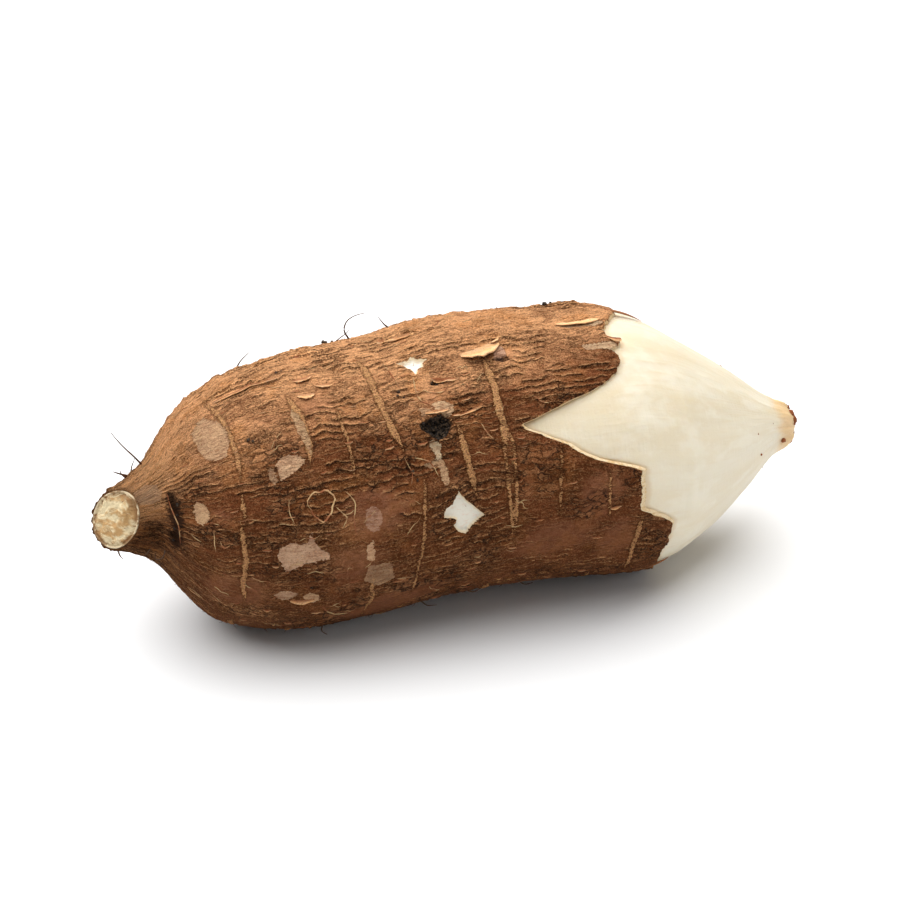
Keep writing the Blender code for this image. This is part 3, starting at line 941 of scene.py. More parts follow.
    # Dark rim round each scrape: painted shadow along its edge
    finish.coat(colours.bark_dark, finish.rise(scuff, -0.40, -0.08), strength, 0.55)
    tone = finish.attribute("scuff_tone")
    scraped = finish.mix(finish.math("MINIMUM", tone, 1.0), colours.scuff_pink, colours.scuff_tan)
    scraped = finish.mix(finish.math("SUBTRACT", tone, 1.0, clamp=True), scraped, colours.rind)
    scraped = finish.mix(finish.rise(streak, 0.56, 0.40, 0.0, 0.35), scraped, colours.bark_worn)
    scraped = finish.mix(finish.rise(fine, 0.50, 0.36, 0.0, 0.45), scraped, colours.bark_mid)
    scraped = finish.mix(finish.rise(sand, 0.43, 0.34, 0.0, 0.55), scraped, colours.bark_mid)
    scraped = finish.mix(finish.rise(grit, 0.58, 0.70, 0.0, 0.45), scraped, colours.lip)
    finish.coat(scraped, finish.rise(scuff, -0.08, 0.08), strength)
    # Near-black painted shade in the neck's fold, and dark in the pits
    painted_shade_and_stain = finish.total(finish.attribute("painted_shade_and_stain"), finish.times(shiver, 0.9))
    painted_shade_and_stain = finish.total(painted_shade_and_stain, finish.times(finish.centred(fibre), 0.9))
    finish.coat(colours.crack, finish.rise(painted_shade_and_stain, 0.25, 0.85, 0.0, 0.90))

    # Chips through the peel, the torn edge and the soil
    chip = finish.attribute("chip")
    chipped = finish.mix(finish.rise(chip, 0.10, 0.7), colours.rind, colours.chip)
    chipped = finish.mix(finish.rise(fine, 0.52, 0.66, 0.0, 0.35), chipped, colours.scuff_pink)
    chip = finish.rise(finish.total(chip, finish.times(shiver, 0.30)), 0.0, 0.10)
    finish.coat(chipped, chip)
    rind = finish.total(finish.attribute("cream"), finish.times(wobble, 1.3))
    rind = finish.rise(rind, -0.05, 0.12)
    rind_colour = finish.mix(finish.rise(fine, 0.42, 0.66), colours.rind, colours.rind_line)
    finish.coat(rind_colour, rind)
    crumb = finish.cells(grain, scale=1.25)
    soil = finish.total(finish.attribute("soil"), finish.times(wobble, 0.9))
    soil = finish.rise(soil, -0.15, 0.35)
    soil_colour = finish.mix(finish.rise(crumb, 0.2, 0.55), colours.soil_crumb, colours.soil)
    finish.coat(soil_colour, soil)

    # Relief finer than the shape's own, less of it on worn skin and none where the skin is gone
    bare = finish.math("MAXIMUM", finish.math("MAXIMUM", chip, rind), soil)
    rough = finish.rest(finish.times(worn, 0.40))
    relief = finish.total(
        finish.times(finish.centred(sand), 0.75, rough),
        finish.times(shiver, 1.35, rough),
        finish.times(finish.centred(fibre), 0.25),
        finish.times(finish.centred(fine), 1.60, rough),
        finish.times(finish.centred(streak), 0.40, rough),
        finish.times(finish.centred(cord), 1.20, neck),
        finish.times(finish.rise(scale_gap, 0.0, 0.30), scaly, 0.55),
        finish.times(finish.rise(fine_phase, 0.0, 0.82), fine_here, 0.30),
        finish.times(finish.rise(fine_phase, 0.84, 0.95), fine_here, -0.60),
        finish.times(finish.rise(phase, 0.82, 0.92), here, -0.75),
        finish.times(ring, finish.rise(sand, 0.3, 0.7, 0.0, 0.70)),
    )
    relief = finish.total(
        finish.times(relief, finish.rest(bare)),
        finish.times(finish.centred(fine), 0.40),
        finish.times(soil, finish.rise(crumb, 0.0, 0.6, 0.5, 0.0)),
    )
    finish.bump(relief)
    finish.set(
        Base_Color=finish.colour,
        Roughness=finish.rise(fine, 0.3, 0.7, 0.70, 0.90),
        Specular_IOR_Level=0.04,
    )
    return finish.material


def flesh_finish(colours):
    """Moist ivory flesh: soft pale and straw-coloured bands along the root, browner at the tip,
    paler on the -Y side as painted light, and straw by the torn edge, partly stain and partly
    painted shade.
    """
    finish = Finish("flesh")
    grain = finish.attribute("grain", "Vector")
    band = finish.noise(grain, (0.022, 0.10, 0.10), detail=3.0, roughness=0.5)
    cloud = finish.noise(grain, (0.06, 0.10, 0.10), detail=3.0, roughness=0.6)
    streak = finish.noise(grain, (0.07, 0.9, 0.9), detail=4.0, roughness=0.55)
    mottle = finish.noise(grain, (0.9, 1.4, 1.4), detail=3.0)
    cut = finish.noise(grain, (0.9, 0.12, 0.12), detail=3.0)
    finish.colour = finish.mix(finish.rise(band, 0.36, 0.66), colours.flesh, colours.flesh_straw)
    finish.coat(colours.flesh_straw, finish.rise(streak, 0.50, 0.68, 0.0, 0.65))
    finish.coat(colours.flesh_pale, finish.rise(cloud, 0.48, 0.66, 0.0, 0.60))
    finish.coat(colours.flesh_pale, finish.rise(mottle, 0.5, 0.8, 0.0, 0.30))
    # Painted light: the flesh paler on its -Y side, which faces the camera
    side = finish.rise(finish.split(grain)["Y"], 0.70 * GRAIN_RADIUS, GRAIN_RADIUS, 0.0, 0.35)
    finish.coat(colours.flesh_pale, side)
    # By the torn edge: a straw stain, partly painted shade from the peel
    painted_shade_and_stain = finish.total(finish.attribute("edge_stain_and_shade"), finish.times(finish.centred(mottle), 0.5))
    finish.coat(colours.rind_line, finish.rise(painted_shade_and_stain, 0.25, 0.95, 0.0, 0.42))
    tip = finish.line(cloud, 0.7, finish.attribute("tip"))
    finish.coat(colours.tip, finish.rise(tip, 0.55, 1.00, 0.0, 0.85))
    finish.coat(colours.bark_mid, finish.rise(tip, 1.28, 1.50, 0.0, 0.90))
    relief = finish.total(
        finish.times(finish.centred(streak), 0.14),
        finish.times(finish.centred(cut), 0.14),
        finish.times(finish.centred(mottle), 0.08),
    )
    finish.bump(relief)
    finish.set(
        Base_Color=finish.colour,
        Roughness=finish.rise(mottle, 0.3, 0.7, 0.42, 0.58),
        Specular_IOR_Level=0.35,
        Subsurface_Weight=0.35,
        Subsurface_Radius=(1.0, 0.75, 0.45),
        Subsurface_Scale=0.004,
    )
    return finish.material


def stem_finish(colours):
    """Broken woody core: ivory fibres with straw and brown between them, ringed by pale rind."""
    finish = Finish("stem_wood")
    place = finish.place()
    radial = finish.attribute("radial")
    coarse = finish.noise(place, (0.15, 0.15, 0.30), detail=4.0, roughness=0.6, distortion=0.8)
    fine = finish.noise(place, (0.9, 0.9, 1.5), detail=4.0, roughness=0.65)
    rind_side = finish.line(finish.math("POWER", radial, 4.0), 0.85, 0.15)
    straw = finish.rise(coarse, 0.45, 0.60, 0.0, 0.85)
    finish.colour = finish.mix(straw, colours.stem_pale, colours.stem_straw)
    finish.coat(colours.stem_brown, finish.rise(fine, 0.52, 0.64, 0.0, 0.80), rind_side)
    edge = finish.total(radial, finish.times(finish.centred(fine), 0.24))
    dirt = finish.rise(coarse, 0.40, 0.56, 0.15, 0.95)
    finish.coat(colours.stem_brown, finish.rise(edge, 0.70, 0.90), dirt)
    clean = finish.rise(coarse, 0.56, 0.44, 0.1, 0.9)
    finish.coat(colours.rind, finish.rise(edge, 0.92, 0.95), clean)
    finish.bump(finish.total(finish.times(coarse, 0.9), finish.times(fine, 0.8)))
    finish.set(Base_Color=finish.colour, Roughness=0.8, Specular_IOR_Level=0.2)
    return finish.material


def fibre_finish(name, pale, dark):
    """Dry root fibre, paler and darker by stretches."""
    finish = Finish(name)
    place = finish.place()
    change = finish.noise(place, scale=0.28, detail=2.0)
    grit = finish.noise(place, scale=3.0, detail=3.0)
    finish.colour = finish.mix(finish.rise(change, 0.38, 0.62), pale, dark)
    finish.coat(dark, finish.rise(grit, 0.5, 0.75, 0.0, 0.6))
    finish.bump(finish.times(grit, 0.15))
    finish.set(Base_Color=finish.colour, Roughness=0.78, Specular_IOR_Level=0.2)
    return finish.material


def flake_finish(colours):
    """Lifted bark: brown skin on its face and tan inner side, by the shape's own shade."""
    finish = Finish("bark_flake")
    grain = finish.attribute("grain", "Vector")
    streak = finish.noise(grain, (0.30, 1.8, 1.8), detail=4.0, roughness=0.6)
    sand = finish.noise(grain, (2.2, 2.6, 2.6), detail=2.0, roughness=0.7)
    finish.colour = finish.mix(finish.rise(streak, 0.35, 0.65), colours.bark_red, colours.bark_mid)
    tan = finish.mix(finish.rise(streak, 0.35, 0.65), colours.scuff_tan, colours.ring_tan)
    finish.coat(tan, finish.attribute("shade"))
    finish.coat(colours.bark_dark, finish.rise(sand, 0.45, 0.33, 0.0, 0.5))
    finish.bump(finish.total(finish.times(streak, 0.35), finish.times(sand, 0.35)))
    finish.set(Base_Color=finish.colour, Roughness=0.82, Specular_IOR_Level=0.15)
    return finish.material


def soil_finish(colours):
    """Near-black damp soil with a few brown grains."""
    finish = Finish("soil")
    place = finish.place()
    grit = finish.noise(place, scale=1.6, detail=3.0, roughness=0.7)
    finish.colour = finish.mix(finish.rise(grit, 0.47, 0.60), colours.soil, colours.soil_crumb)
    finish.bump(finish.times(grit, 0.4))
    finish.set(Base_Color=finish.colour, Roughness=0.85, Specular_IOR_Level=0.25)
    return finish.material


# ---------------------------------------------------------------------------
# Pieces
# ---------------------------------------------------------------------------

FRONT_FROM, FRONT_TO = -36.0, 156.0
FRONT_COLUMNS, BACK_COLUMNS = 290, 110
MAIN_ROWS, INNER_ROWS = 218, 14
INNER_CROWDING = 2.2        # the inner rows lie closest together at the neck
INNER_NECK_PROUD = 0.3      # the inside of the shell at the saw cut, over the flesh's form
INNER_SINK = 1.9            # how much lower it lies beyond the neck
INNER_SETBACK = 1.6         # from the torn edge back to the inside's first row
RIM_CLEARANCE = 0.8         # between the outside's last row and the torn edge's slope
NECK_RADIUS = 9.0
CUT_FRAY = 0.45             # how raggedly the bark ends at the saw cut
CREAM_REACH = 0.25          # how far behind the torn edge the peel is cream
BEVEL_CREAM_REACH = 1.8     # how much further where the edge is a broad bevel
PALE_INSIDE_FROM = 40.0     # the peel's inside is cream beyond this
MARK_LIMIT = 3.0            # distances to marks are kept within this
# The torn edge in section: millimetres back from the edge, share of the peel's thickness
RIM_PROFILE = ((2.6, 1.0), (1.9, 1.0), (1.3, 0.98), (0.85, 0.92), (0.5, 0.80), (0.25, 0.60),
               (0.08, 0.35), (0.0, 0.05), (0.1, -0.25))
SAW_CUT_SPAN = (-6.0, 14.0)             # the cut's plane crosses the skin between these
HALVINGS = 30


def stem_start(turn, proud):
    """Where the saw cut's plane meets the surface, found by halving the stretch it lies in."""
    low, high = (np.full(turn.shape, end) for end in SAW_CUT_SPAN)
    for _ in range(HALVINGS):
        middle = (low + high) / 2
        beyond = (skin_mm(middle, turn, proud) - STEM_CUT_CENTRE) @ STEM_CUT_FACING > 0
        low, high = np.where(beyond, middle, low), np.where(beyond, high, middle)
    return (low + high) / 2


def round_place(turn, radius):
    """Points of a circle, where noise that runs round the root is taken."""
    angle = np.radians(turn)
    return np.stack((np.sin(angle), np.cos(angle), 0 * angle), -1) * radius


def peel_edge(turn):
    """Where the peel ends: straight runs between the tear's corners, frayed by fine noise."""
    turns, places = np.array(PEEL_EDGE, float).T
    place = round_place(turn, GRAIN_RADIUS)
    fray = 0.55 * layers(place / 4.5, 3, 81) + 0.40 * layers(place / 1.1, 2, 84)
    return np.interp(turn % 360.0, turns, places) + fray


def rim_width(turn):
    """How broadly the torn edge slopes: steep on top, a broad bevel on the -Y side."""
    return 1.0 + 1.5 * smooth(50.0, 58.0, turn) * smooth(112.0, 98.0, turn)


def bark_columns():
    """Turns of the bark's columns, closer together on the side that is marked."""
    front = np.linspace(FRONT_FROM, FRONT_TO, FRONT_COLUMNS, endpoint=False)
    back = np.linspace(FRONT_TO, FRONT_FROM + 360.0, BACK_COLUMNS, endpoint=False)
    return np.concatenate((front, back))


def make_bark(material, relief_scale):
    """Closed shell of the peel. Its rows run over the outside from the saw cut to the torn edge,
    down the tear, and back inside to the cut, where the last row meets the first."""
    turn = bark_columns()
    edge = peel_edge(turn)
    ragged = round_place(turn, NECK_RADIUS)
    start = stem_start(turn, NECK_PEEL_THICKNESS) + CUT_FRAY * layers(ragged / 1.5, 3, 91)
    width = rim_width(turn)
    rim_back, rim_thickness = np.array(RIM_PROFILE).T[..., None]
    share = np.linspace(0.0, 1.0, MAIN_ROWS)[:, None]
    main = along_between(start, edge - (rim_back[0] + RIM_CLEARANCE) * width, share)
    back = rim_back * width
    along = np.concatenate((main, edge - back))
    turns = np.broadcast_to(turn, along.shape)
    thickness = np.concatenate((np.ones((MAIN_ROWS, 1)), rim_thickness))
    marks = bark_marks(along, turns)
    height = bark_relief(along, turns, marks)
    proud = peel_at(along) * thickness + relief_scale * height * np.clip(thickness, 0.0, 1.0)
    outer = skin(along, turns, proud)

    inner_share = np.linspace(1.0, 0.0, INNER_ROWS)[:, None] ** INNER_CROWDING
    inner_along = along_between(
        stem_start(turn, INNER_NECK_PROUD), edge - INNER_SETBACK * width, inner_share,
    )
    inner_proud = INNER_NECK_PROUD - INNER_SINK * smooth(5.0, 15.0, inner_along)
    inner = skin(inner_along, turns[:INNER_ROWS], inner_proud)

    rows = len(outer) + len(inner)
    points = np.concatenate((outer, inner)).reshape(-1, 3)
    closing = grid_faces(2, len(turn))
    seam = np.where(closing < len(turn), closing + (rows - 1) * len(turn), closing - len(turn))
    quads = np.concatenate((grid_faces(rows, len(turn)), seam))

    def on_shell(values, inside):
        filler = np.full(inner.shape[:2] + values.shape[2:], 0.0) + inside
        return np.concatenate((values, filler)).reshape((-1,) + values.shape[2:])

    bevel = BEVEL_CREAM_REACH * smooth(51.0, 57.0, turn) * smooth(108.0, 96.0, turn)
    behind = np.concatenate((edge - main, back))
    pale_inside = np.where(inner_along > PALE_INSIDE_FROM, 1.0, -MARK_LIMIT)
    cream = np.clip(CREAM_REACH + bevel - behind, -MARK_LIMIT, MARK_LIMIT)
    attributes = {"cream": on_shell(cream, pale_inside)}
    for key in ("chip", "soil", "scuff", "ring"):
        distance = np.clip(marks[key], -MARK_LIMIT, MARK_LIMIT)
        attributes[key] = on_shell(distance, -MARK_LIMIT)
    for key in ("grain", "wave", "presence", "worn", "dust_and_top_light", "shade", "painted_shade_and_stain",
                "scuff_tone", "scuff_strength"):
        attributes[key] = on_shell(marks[key], 0.0)
    return make_piece("bark", points, quads, NO_TRIANGLES, material, attributes)


FLESH_COLUMNS, FLESH_ROWS = 256, 190
FLESH_START = 12.0
FLESH_CROWDING = 0.8        # the flesh's rows lie closer together towards the tip
FLESH_SINK = 2.6            # how far the flesh sinks where the peel covers it
# Soft flats: height of the edges between them, half their number, and millimetres along the
# root in which they slant by a radian
FLAT_HEIGHT, FLAT_PAIRS, FLAT_SLANT = 0.34, 5.5, 26.0
CUT_RIDGE_ALONG, CUT_RIDGE_HALF_WIDTH, CUT_RIDGE_HEIGHT = 172.0, 1.3, 0.45
TIP_ROUNDING = 3.0          # the stretch before the tip that is rounded off
TIP_CLOSING = 0.72          # how much of a full quarter circle it is rounded by
TIP_POINT = (0.0004, 0.0, 0.0)          # metres from the last row to the closing point


def make_flesh(material):
    """Closed flesh: the root's own form with soft flats left by the knife, sunk under the peel
    and rounded off at the tip. The last rows shrink by a quarter circle to a closed point."""
    turn = np.linspace(0.0, 360.0, FLESH_COLUMNS, endpoint=False)
    share = np.linspace(0.0, 1.0, FLESH_ROWS)[:, None] ** FLESH_CROWDING
    along = along_between(FLESH_START, TIP_ALONG, share)
    along, turns = np.broadcast_arrays(along, turn[None, :])
    grain = grain_place(along, turns)
    beyond_peel = along - peel_edge(turns)
    flats = np.abs(np.sin(np.radians(turns) * FLAT_PAIRS + along / FLAT_SLANT)) - 0.5
    flats = FLAT_HEIGHT * flats * smooth(TIP_ALONG, 200.0, along)
    proud = 0.34 * layers(grain / (30.0, 16.0, 16.0), 2, 101) + flats
    proud += 0.12 * layers(grain / (9.0, 2.5, 2.5), 2, 105)
    ridge = smooth(36.0, 55.0, turns) * smooth(112.0, 92.0, turns)
    ridge *= np.exp(-((along - CUT_RIDGE_ALONG) / CUT_RIDGE_HALF_WIDTH) ** 2)
    proud += CUT_RIDGE_HEIGHT * ridge
    proud += 0.60 * smooth(213.0, 223.0, along) * layers(grain / (2.6, 9.0, 9.0), 3, 111)
    proud -= FLESH_SINK * smooth(-1.2, -5.0, beyond_peel)
    points = skin_mm(along, turns, proud)
    side, height, _, _ = form(along)
    middle = np.stack((along, side, height), axis=-1)
    closing = np.clip((along - (TIP_ALONG - TIP_ROUNDING)) / TIP_ROUNDING, 0.0, 1.0)
    shrink = np.sqrt(1.0 - TIP_CLOSING * closing ** 2)[..., None]
    points = middle + (points - middle) * shrink
    points = (points + SHIFT) * MM
    poles = np.stack((points[0].mean(axis=0), points[-1].mean(axis=0) + TIP_POINT))
    quads, triangles = capped_faces(*along.shape)
    # Straw beside the torn edge: partly stain, partly painted shade from the peel
    painted_shade_and_stain = smooth(3.5, 0.0, beyond_peel)
    attributes = {
        "grain": np.concatenate((grain.reshape(-1, 3), grain[0, :1], grain[-1, :1])),
        "tip": np.append(smooth(209.0, 226.0, along).ravel(), (0.0, 1.2)),
        "edge_stain_and_shade": np.append(painted_shade_and_stain.ravel(), (0.0, 0.0)),
    }
    points = np.concatenate((points.reshape(-1, 3), poles))
    return make_piece("flesh", points, quads, triangles, material, attributes)


STEM_RINGS, STEM_COLUMNS = 34, 160
STEM_RIM_PROUD = 0.45       # the face's rim over the flesh's form
STEM_SIDE_STEPS = (1.0, 3.0, 6.0)       # the plug's side, into the neck
STEM_DOME_HEIGHT, STEM_LIFT = 1.1, 0.15
# Inside the rim: its depth, then its place and half width as shares of the way to the rim
GROOVE_DEPTH, GROOVE_SHARE, GROOVE_HALF_WIDTH = 0.45, 0.9, 0.035


def make_stem_face(material):
    """Closed plug in the neck whose outer face is the broken wood of the cut: a flat dome with
    torn fibres, a groove inside the rim, and a side that runs into the neck."""
    turn = np.linspace(0.0, 360.0, STEM_COLUMNS, endpoint=False)
    start = stem_start(turn, STEM_RIM_PROUD)
    rim = skin_mm(start, turn, STEM_RIM_PROUD)
    share = np.linspace(0.02, 1.0, STEM_RINGS)[:, None, None]
    flat = STEM_CUT_CENTRE + share * (rim - STEM_CUT_CENTRE)
    share = share[..., 0]
    cleft = 1.0 - creases(flat / (3.4, 3.4, 5.2), 3, 125)
    torn = 0.60 * layers(flat / (3.6, 3.6, 5.6), 4, 121) - 0.6 * cleft
    groove = GROOVE_DEPTH * np.exp(-((share - GROOVE_SHARE) / GROOVE_HALF_WIDTH) ** 2)
    dome = STEM_DOME_HEIGHT * (1 - share ** 2) - groove
    lift = dome + torn * smooth(1.0, 0.82, share) + STEM_LIFT
    face = flat + lift[..., None] * STEM_CUT_FACING
    side = skin_mm(start + np.array(STEM_SIDE_STEPS)[:, None], turn, 0.0)
    rings = np.concatenate((face, side))
    quads, triangles = capped_faces(len(rings), STEM_COLUMNS)
    poles = np.stack((face[0].mean(axis=0), side[-1].mean(axis=0)))
    points = (np.concatenate((rings.reshape(-1, 3), poles)) + SHIFT) * MM
    radial = np.concatenate((np.broadcast_to(share, face.shape[:2]), np.ones(side.shape[:2])))
    attributes = {"radial": np.append(radial.ravel(), (0.0, 1.0))}
    return make_piece("stem_face", points, quads, triangles, material, attributes)


def bark_height(along, turn):
    """How far the finished bark stands over the flesh's surface, in millimetres."""
    return peel_at(along) + bark_relief(along, turn, bark_marks(along, turn))


def on_bark(along, turn, proud):
    """Points over the finished bark, relief included."""
    along, turn, proud = np.broadcast_arrays(*(np.asarray(v, float) for v in (along, turn, proud)))
    return skin(along, turn, bark_height(along, turn) + proud)


# Fine roots that lie on the bark: radius in millimetres, then along and turn of their points
THREADS = (
    (0.18, ((61.5, 69.5), (63.2, 72.5), (64.2, 74.8), (62.9, 78))),
    (0.17, ((91.9, 21.2), (91.2, 30), (91.8, 34.5), (93.5, 36.5), (95.4, 39.2))),
    (0.16, ((85.1, 11), (86, 18.8), (87.2, 27))),
    (0.18, ((64.6, 64), (66.1, 66.8), (67, 70.2), (66.2, 76.2), (66.5, 81.8))),
    (0.15, ((107, 50), (108, 54), (109.5, 57))),
    (0.15, ((124, 42), (126, 45), (128, 46))),
    (0.17, ((17.6, 46), (18.1, 58.5), (18.9, 69.2), (19.4, 75.5), (19.5, 90))),
    (0.14, ((27.8, 74.2), (27.6, 80), (27.8, 86))),
    (0.14, ((29, 79), (29.8, 82.5), (31.4, 81.2))),
    (0.13, ((48.6, 63), (48.2, 68), (49.2, 73))),
    (0.17, ((101, 30), (99, 33), (96, 32.5), (93, 30))),
    (0.15, ((57, 118), (60, 124), (66, 128))),
    (0.16, ((86, 57), (90, 60), (92, 66))),
    (0.15, ((83, 56), (84.6, 62), (84, 67))),
    (0.17, ((70, -60), (72, -68), (76, -73))),
    (0.18, ((104, -92), (106, -101), (111, -106))),
)
THREAD_LIFT = 0.14          # of a thread's middle line over the bark, in millimetres
THREAD_POINTS, THREAD_SIDES = 26, 6
FINE_THREADS, FINE_THREAD_RADIUS = 70, 0.10
FINE_THREAD_LOW, FINE_THREAD_HIGH = (20.0, -35.0), (118.0, 150.0)       # along and turn
FINE_THREAD_LENGTHS = (2.5, 7.0)
FINE_THREAD_HEADING = 0.9   # radians to either side of the root's length
FINE_THREAD_BEND = 0.5
SCAR_MIDDLE = (57.4, 67.4)
SCAR_RADIUS = 3.6
SCAR_THREAD_RADIUS, SCAR_LIFT = 0.27, 0.34


def make_threads(material):
    """Fine roots pressed to the bark, and the ring round a fallen root's scar: round tubes along
    smooth curves on the skin, thinning towards their ends. Many short ones lie by chance."""
    routes = [curve_points(points, THREAD_POINTS) for _, points in THREADS]
    angle = np.linspace(-0.1, 2 * math.pi, THREAD_POINTS)
    wander = 1.0 + 0.12 * np.sin(3 * angle) + 0.06 * np.sin(7 * angle)
    routes.append(np.stack((
        SCAR_MIDDLE[0] - SCAR_RADIUS * wander * np.cos(angle),
        SCAR_MIDDLE[1] - np.degrees(SCAR_RADIUS * 1.2 * wander * np.sin(angle) / GRAIN_RADIUS),
    ), axis=-1))
    chance = np.random.default_rng(SEEDS["threads"])
    for along, turn in chance.uniform(FINE_THREAD_LOW, FINE_THREAD_HIGH, (FINE_THREADS, 2)):
        heading = chance.uniform(-FINE_THREAD_HEADING, FINE_THREAD_HEADING)
        steps = chance.uniform(*FINE_THREAD_LENGTHS) * np.linspace(-0.5, 0.5, 5)
        bends = FINE_THREAD_BEND * chance.uniform(-1.0, 1.0, 5)
        controls = np.stack((
            along + steps * math.cos(heading) - bends * math.sin(heading),
            turn + DEGREES_PER_MM * (steps * math.sin(heading) + bends * math.cos(heading)),
        ), axis=-1)
        routes.append(curve_points(controls, THREAD_POINTS))
    routes = np.array(routes)
    radii = [radius for radius, _ in THREADS]
    radii += [SCAR_THREAD_RADIUS] + [FINE_THREAD_RADIUS] * FINE_THREADS
    lifts = [THREAD_LIFT] * len(THREADS) + [SCAR_LIFT] + [THREAD_LIFT] * FINE_THREADS
    taper = 0.25 + 0.75 * np.sin(math.pi * np.linspace(0.0, 1.0, THREAD_POINTS)) ** 0.5
    paths = on_bark(routes[..., 0], routes[..., 1], np.array(lifts)[:, None] * taper)
    points, quads, triangles = tubes(paths, np.array(radii)[:, None] * taper * MM, THREAD_SIDES)
    return make_piece("root_threads", points, quads, triangles, material)


# Hair roots that stand off: along and turn of the foot, radius at the foot, then points in
# millimetres along X, Y and Z from the foot
HAIRS = (
    (14, -18, 0.34, ((-2, -0.4, 3), (-5.6, -1.2, 8), (-8.6, -2, 13))),
    (10, -34, 0.40, ((-2.4, -0.3, 1.3), (-4.6, -0.6, 2.6))),
    (10.5, -28, 0.26, ((0.4, 0, 2.6), (1.6, 0.4, 5))),
    (9, -26, 0.28, ((-1.4, 0.2, 1.6), (-1.6, 0.2, 2.8))),
    (47, -28, 0.30, ((1.6, 0, 3), (4.8, 0.4, 5.6))),
    (83, -27, 0.30, ((-1.6, 0, 3.4), (-0.6, 0, 6.4), (2, 0, 7.8), (5, 0, 8.2))),
    (78, -27, 0.22, ((2, 0, 1.4), (4.4, 0, 3), (5, 0, 3.8))),
    (96, -28, 0.34, ((-1.8, 0, 1.8), (-3.6, 0, 4.4))),
    (16, 112, 0.26, ((-1.2, -1.4, -1.6), (-3.2, -2.4, -1.2), (-3.4, -1.8, 0.2))),
    (12, 118, 0.24, ((-1.4, -1, -1.2), (-3.4, -1.4, -1.4))),
    (3, 150, 0.30, ((0.4, -0.8, -1.6), (1.2, -1, -2.8))),
    (60, 142, 0.24, ((-0.8, -1.6, -1.4), (0.4, -3.2, -2))),
    (90, 140, 0.26, ((1.8, -1.6, -1.2), (4.4, -2.6, -1))),
    (102, 134, 0.30, ((2.8, -1.8, -1), (5.8, -1.6, -0.2))),
    (120, 138, 0.22, ((2, -1.2, -1.4), (4.6, -1.6, -1.2))),
    (70, -95, 0.28, ((1.6, 2.2, 0.6), (4, 4, 2.2))),
    (112, -80, 0.30, ((-1.4, 2.4, 1.2), (-1, 4.6, 3.4))),
    (139, -60, 0.24, ((1.4, 1.8, 1.6), (3.8, 2.6, 3.4))),
)
HAIR_POINTS, HAIR_SIDES = 24, 7
HAIR_FOOT_PROUD = -0.4      # the foot is sunk in the bark
HAIR_THINNING = 0.7         # share of the radius lost by the end
HAIR_LOWEST = 0.0006        # metres over the ground
BRISTLES = 620
# Least and greatest along, turn, length, lean along the root and lean round it
BRISTLE_LOW, BRISTLE_HIGH = (4.0, -180.0, 0.35, -1.4, -1.2), (152.0, 180.0, 1.25, 1.4, 1.2)
BRISTLE_CROWDING = (0.4, 1.0)           # chance factors that crowd them towards the neck
BRISTLE_STEPS, BRISTLE_RADII = (0.0, 0.55, 1.0), (0.10, 0.06, 0.02)
BRISTLE_SIDES = 3
BRISTLE_SINK = 0.15
BRISTLE_EDGE_GAP = 3.0      # none stands closer to the torn edge than this


def make_hairs(material):
    """Hair roots: round tubes that thin from foot to end along smooth curves."""
    along, turn, radius = (np.array([hair[item] for hair in HAIRS]) for item in range(3))
    feet = on_bark(along, turn, HAIR_FOOT_PROUD)
    curves = [curve_points(((0, 0, 0), *hair[3]), HAIR_POINTS) for hair in HAIRS]
    paths = np.stack(curves) * MM + feet[:, None]
    paths[..., 2] = np.maximum(paths[..., 2], HAIR_LOWEST)
    taper = 1.0 - HAIR_THINNING * np.linspace(0.0, 1.0, HAIR_POINTS)
    points, quads, triangles = tubes(paths, radius[:, None] * taper * MM, HAIR_SIDES)
    return make_piece("hair_roots", points, quads, triangles, material)


def make_bristles(material):
    """Short stiff bristles all over the bark: three-sided spikes that lean by chance, thickest
    on the neck and the shoulder."""
    chance = np.random.default_rng(SEEDS["bristles"])
    spread = chance.uniform(BRISTLE_LOW, BRISTLE_HIGH, (BRISTLES, len(BRISTLE_LOW)))
    along, turn, length, lean, twist = spread.T
    nearest = BRISTLE_LOW[0]
    along = nearest + (along - nearest) * chance.uniform(*BRISTLE_CROWDING, BRISTLES)
    height = bark_height(along, turn)
    clear = along < peel_edge(turn) - BRISTLE_EDGE_GAP
    steps = np.array(BRISTLE_STEPS)[:, None]
    proud = height + length * steps - BRISTLE_SINK
    paths = skin(along + lean * steps ** 1.5, turn + DEGREES_PER_MM * twist * steps ** 1.5, proud)
    paths = np.moveaxis(paths, 0, 1)[clear]
    radii = np.broadcast_to(np.array(BRISTLE_RADII) * MM, paths.shape[:2])
    points, quads, triangles = tubes(paths, radii, BRISTLE_SIDES)
    return make_piece("bristles", points, quads, triangles, material)


FLAKE_OVER, FLAKE_UNDER = 0.10, -0.16   # the two faces of a flake, over the bark


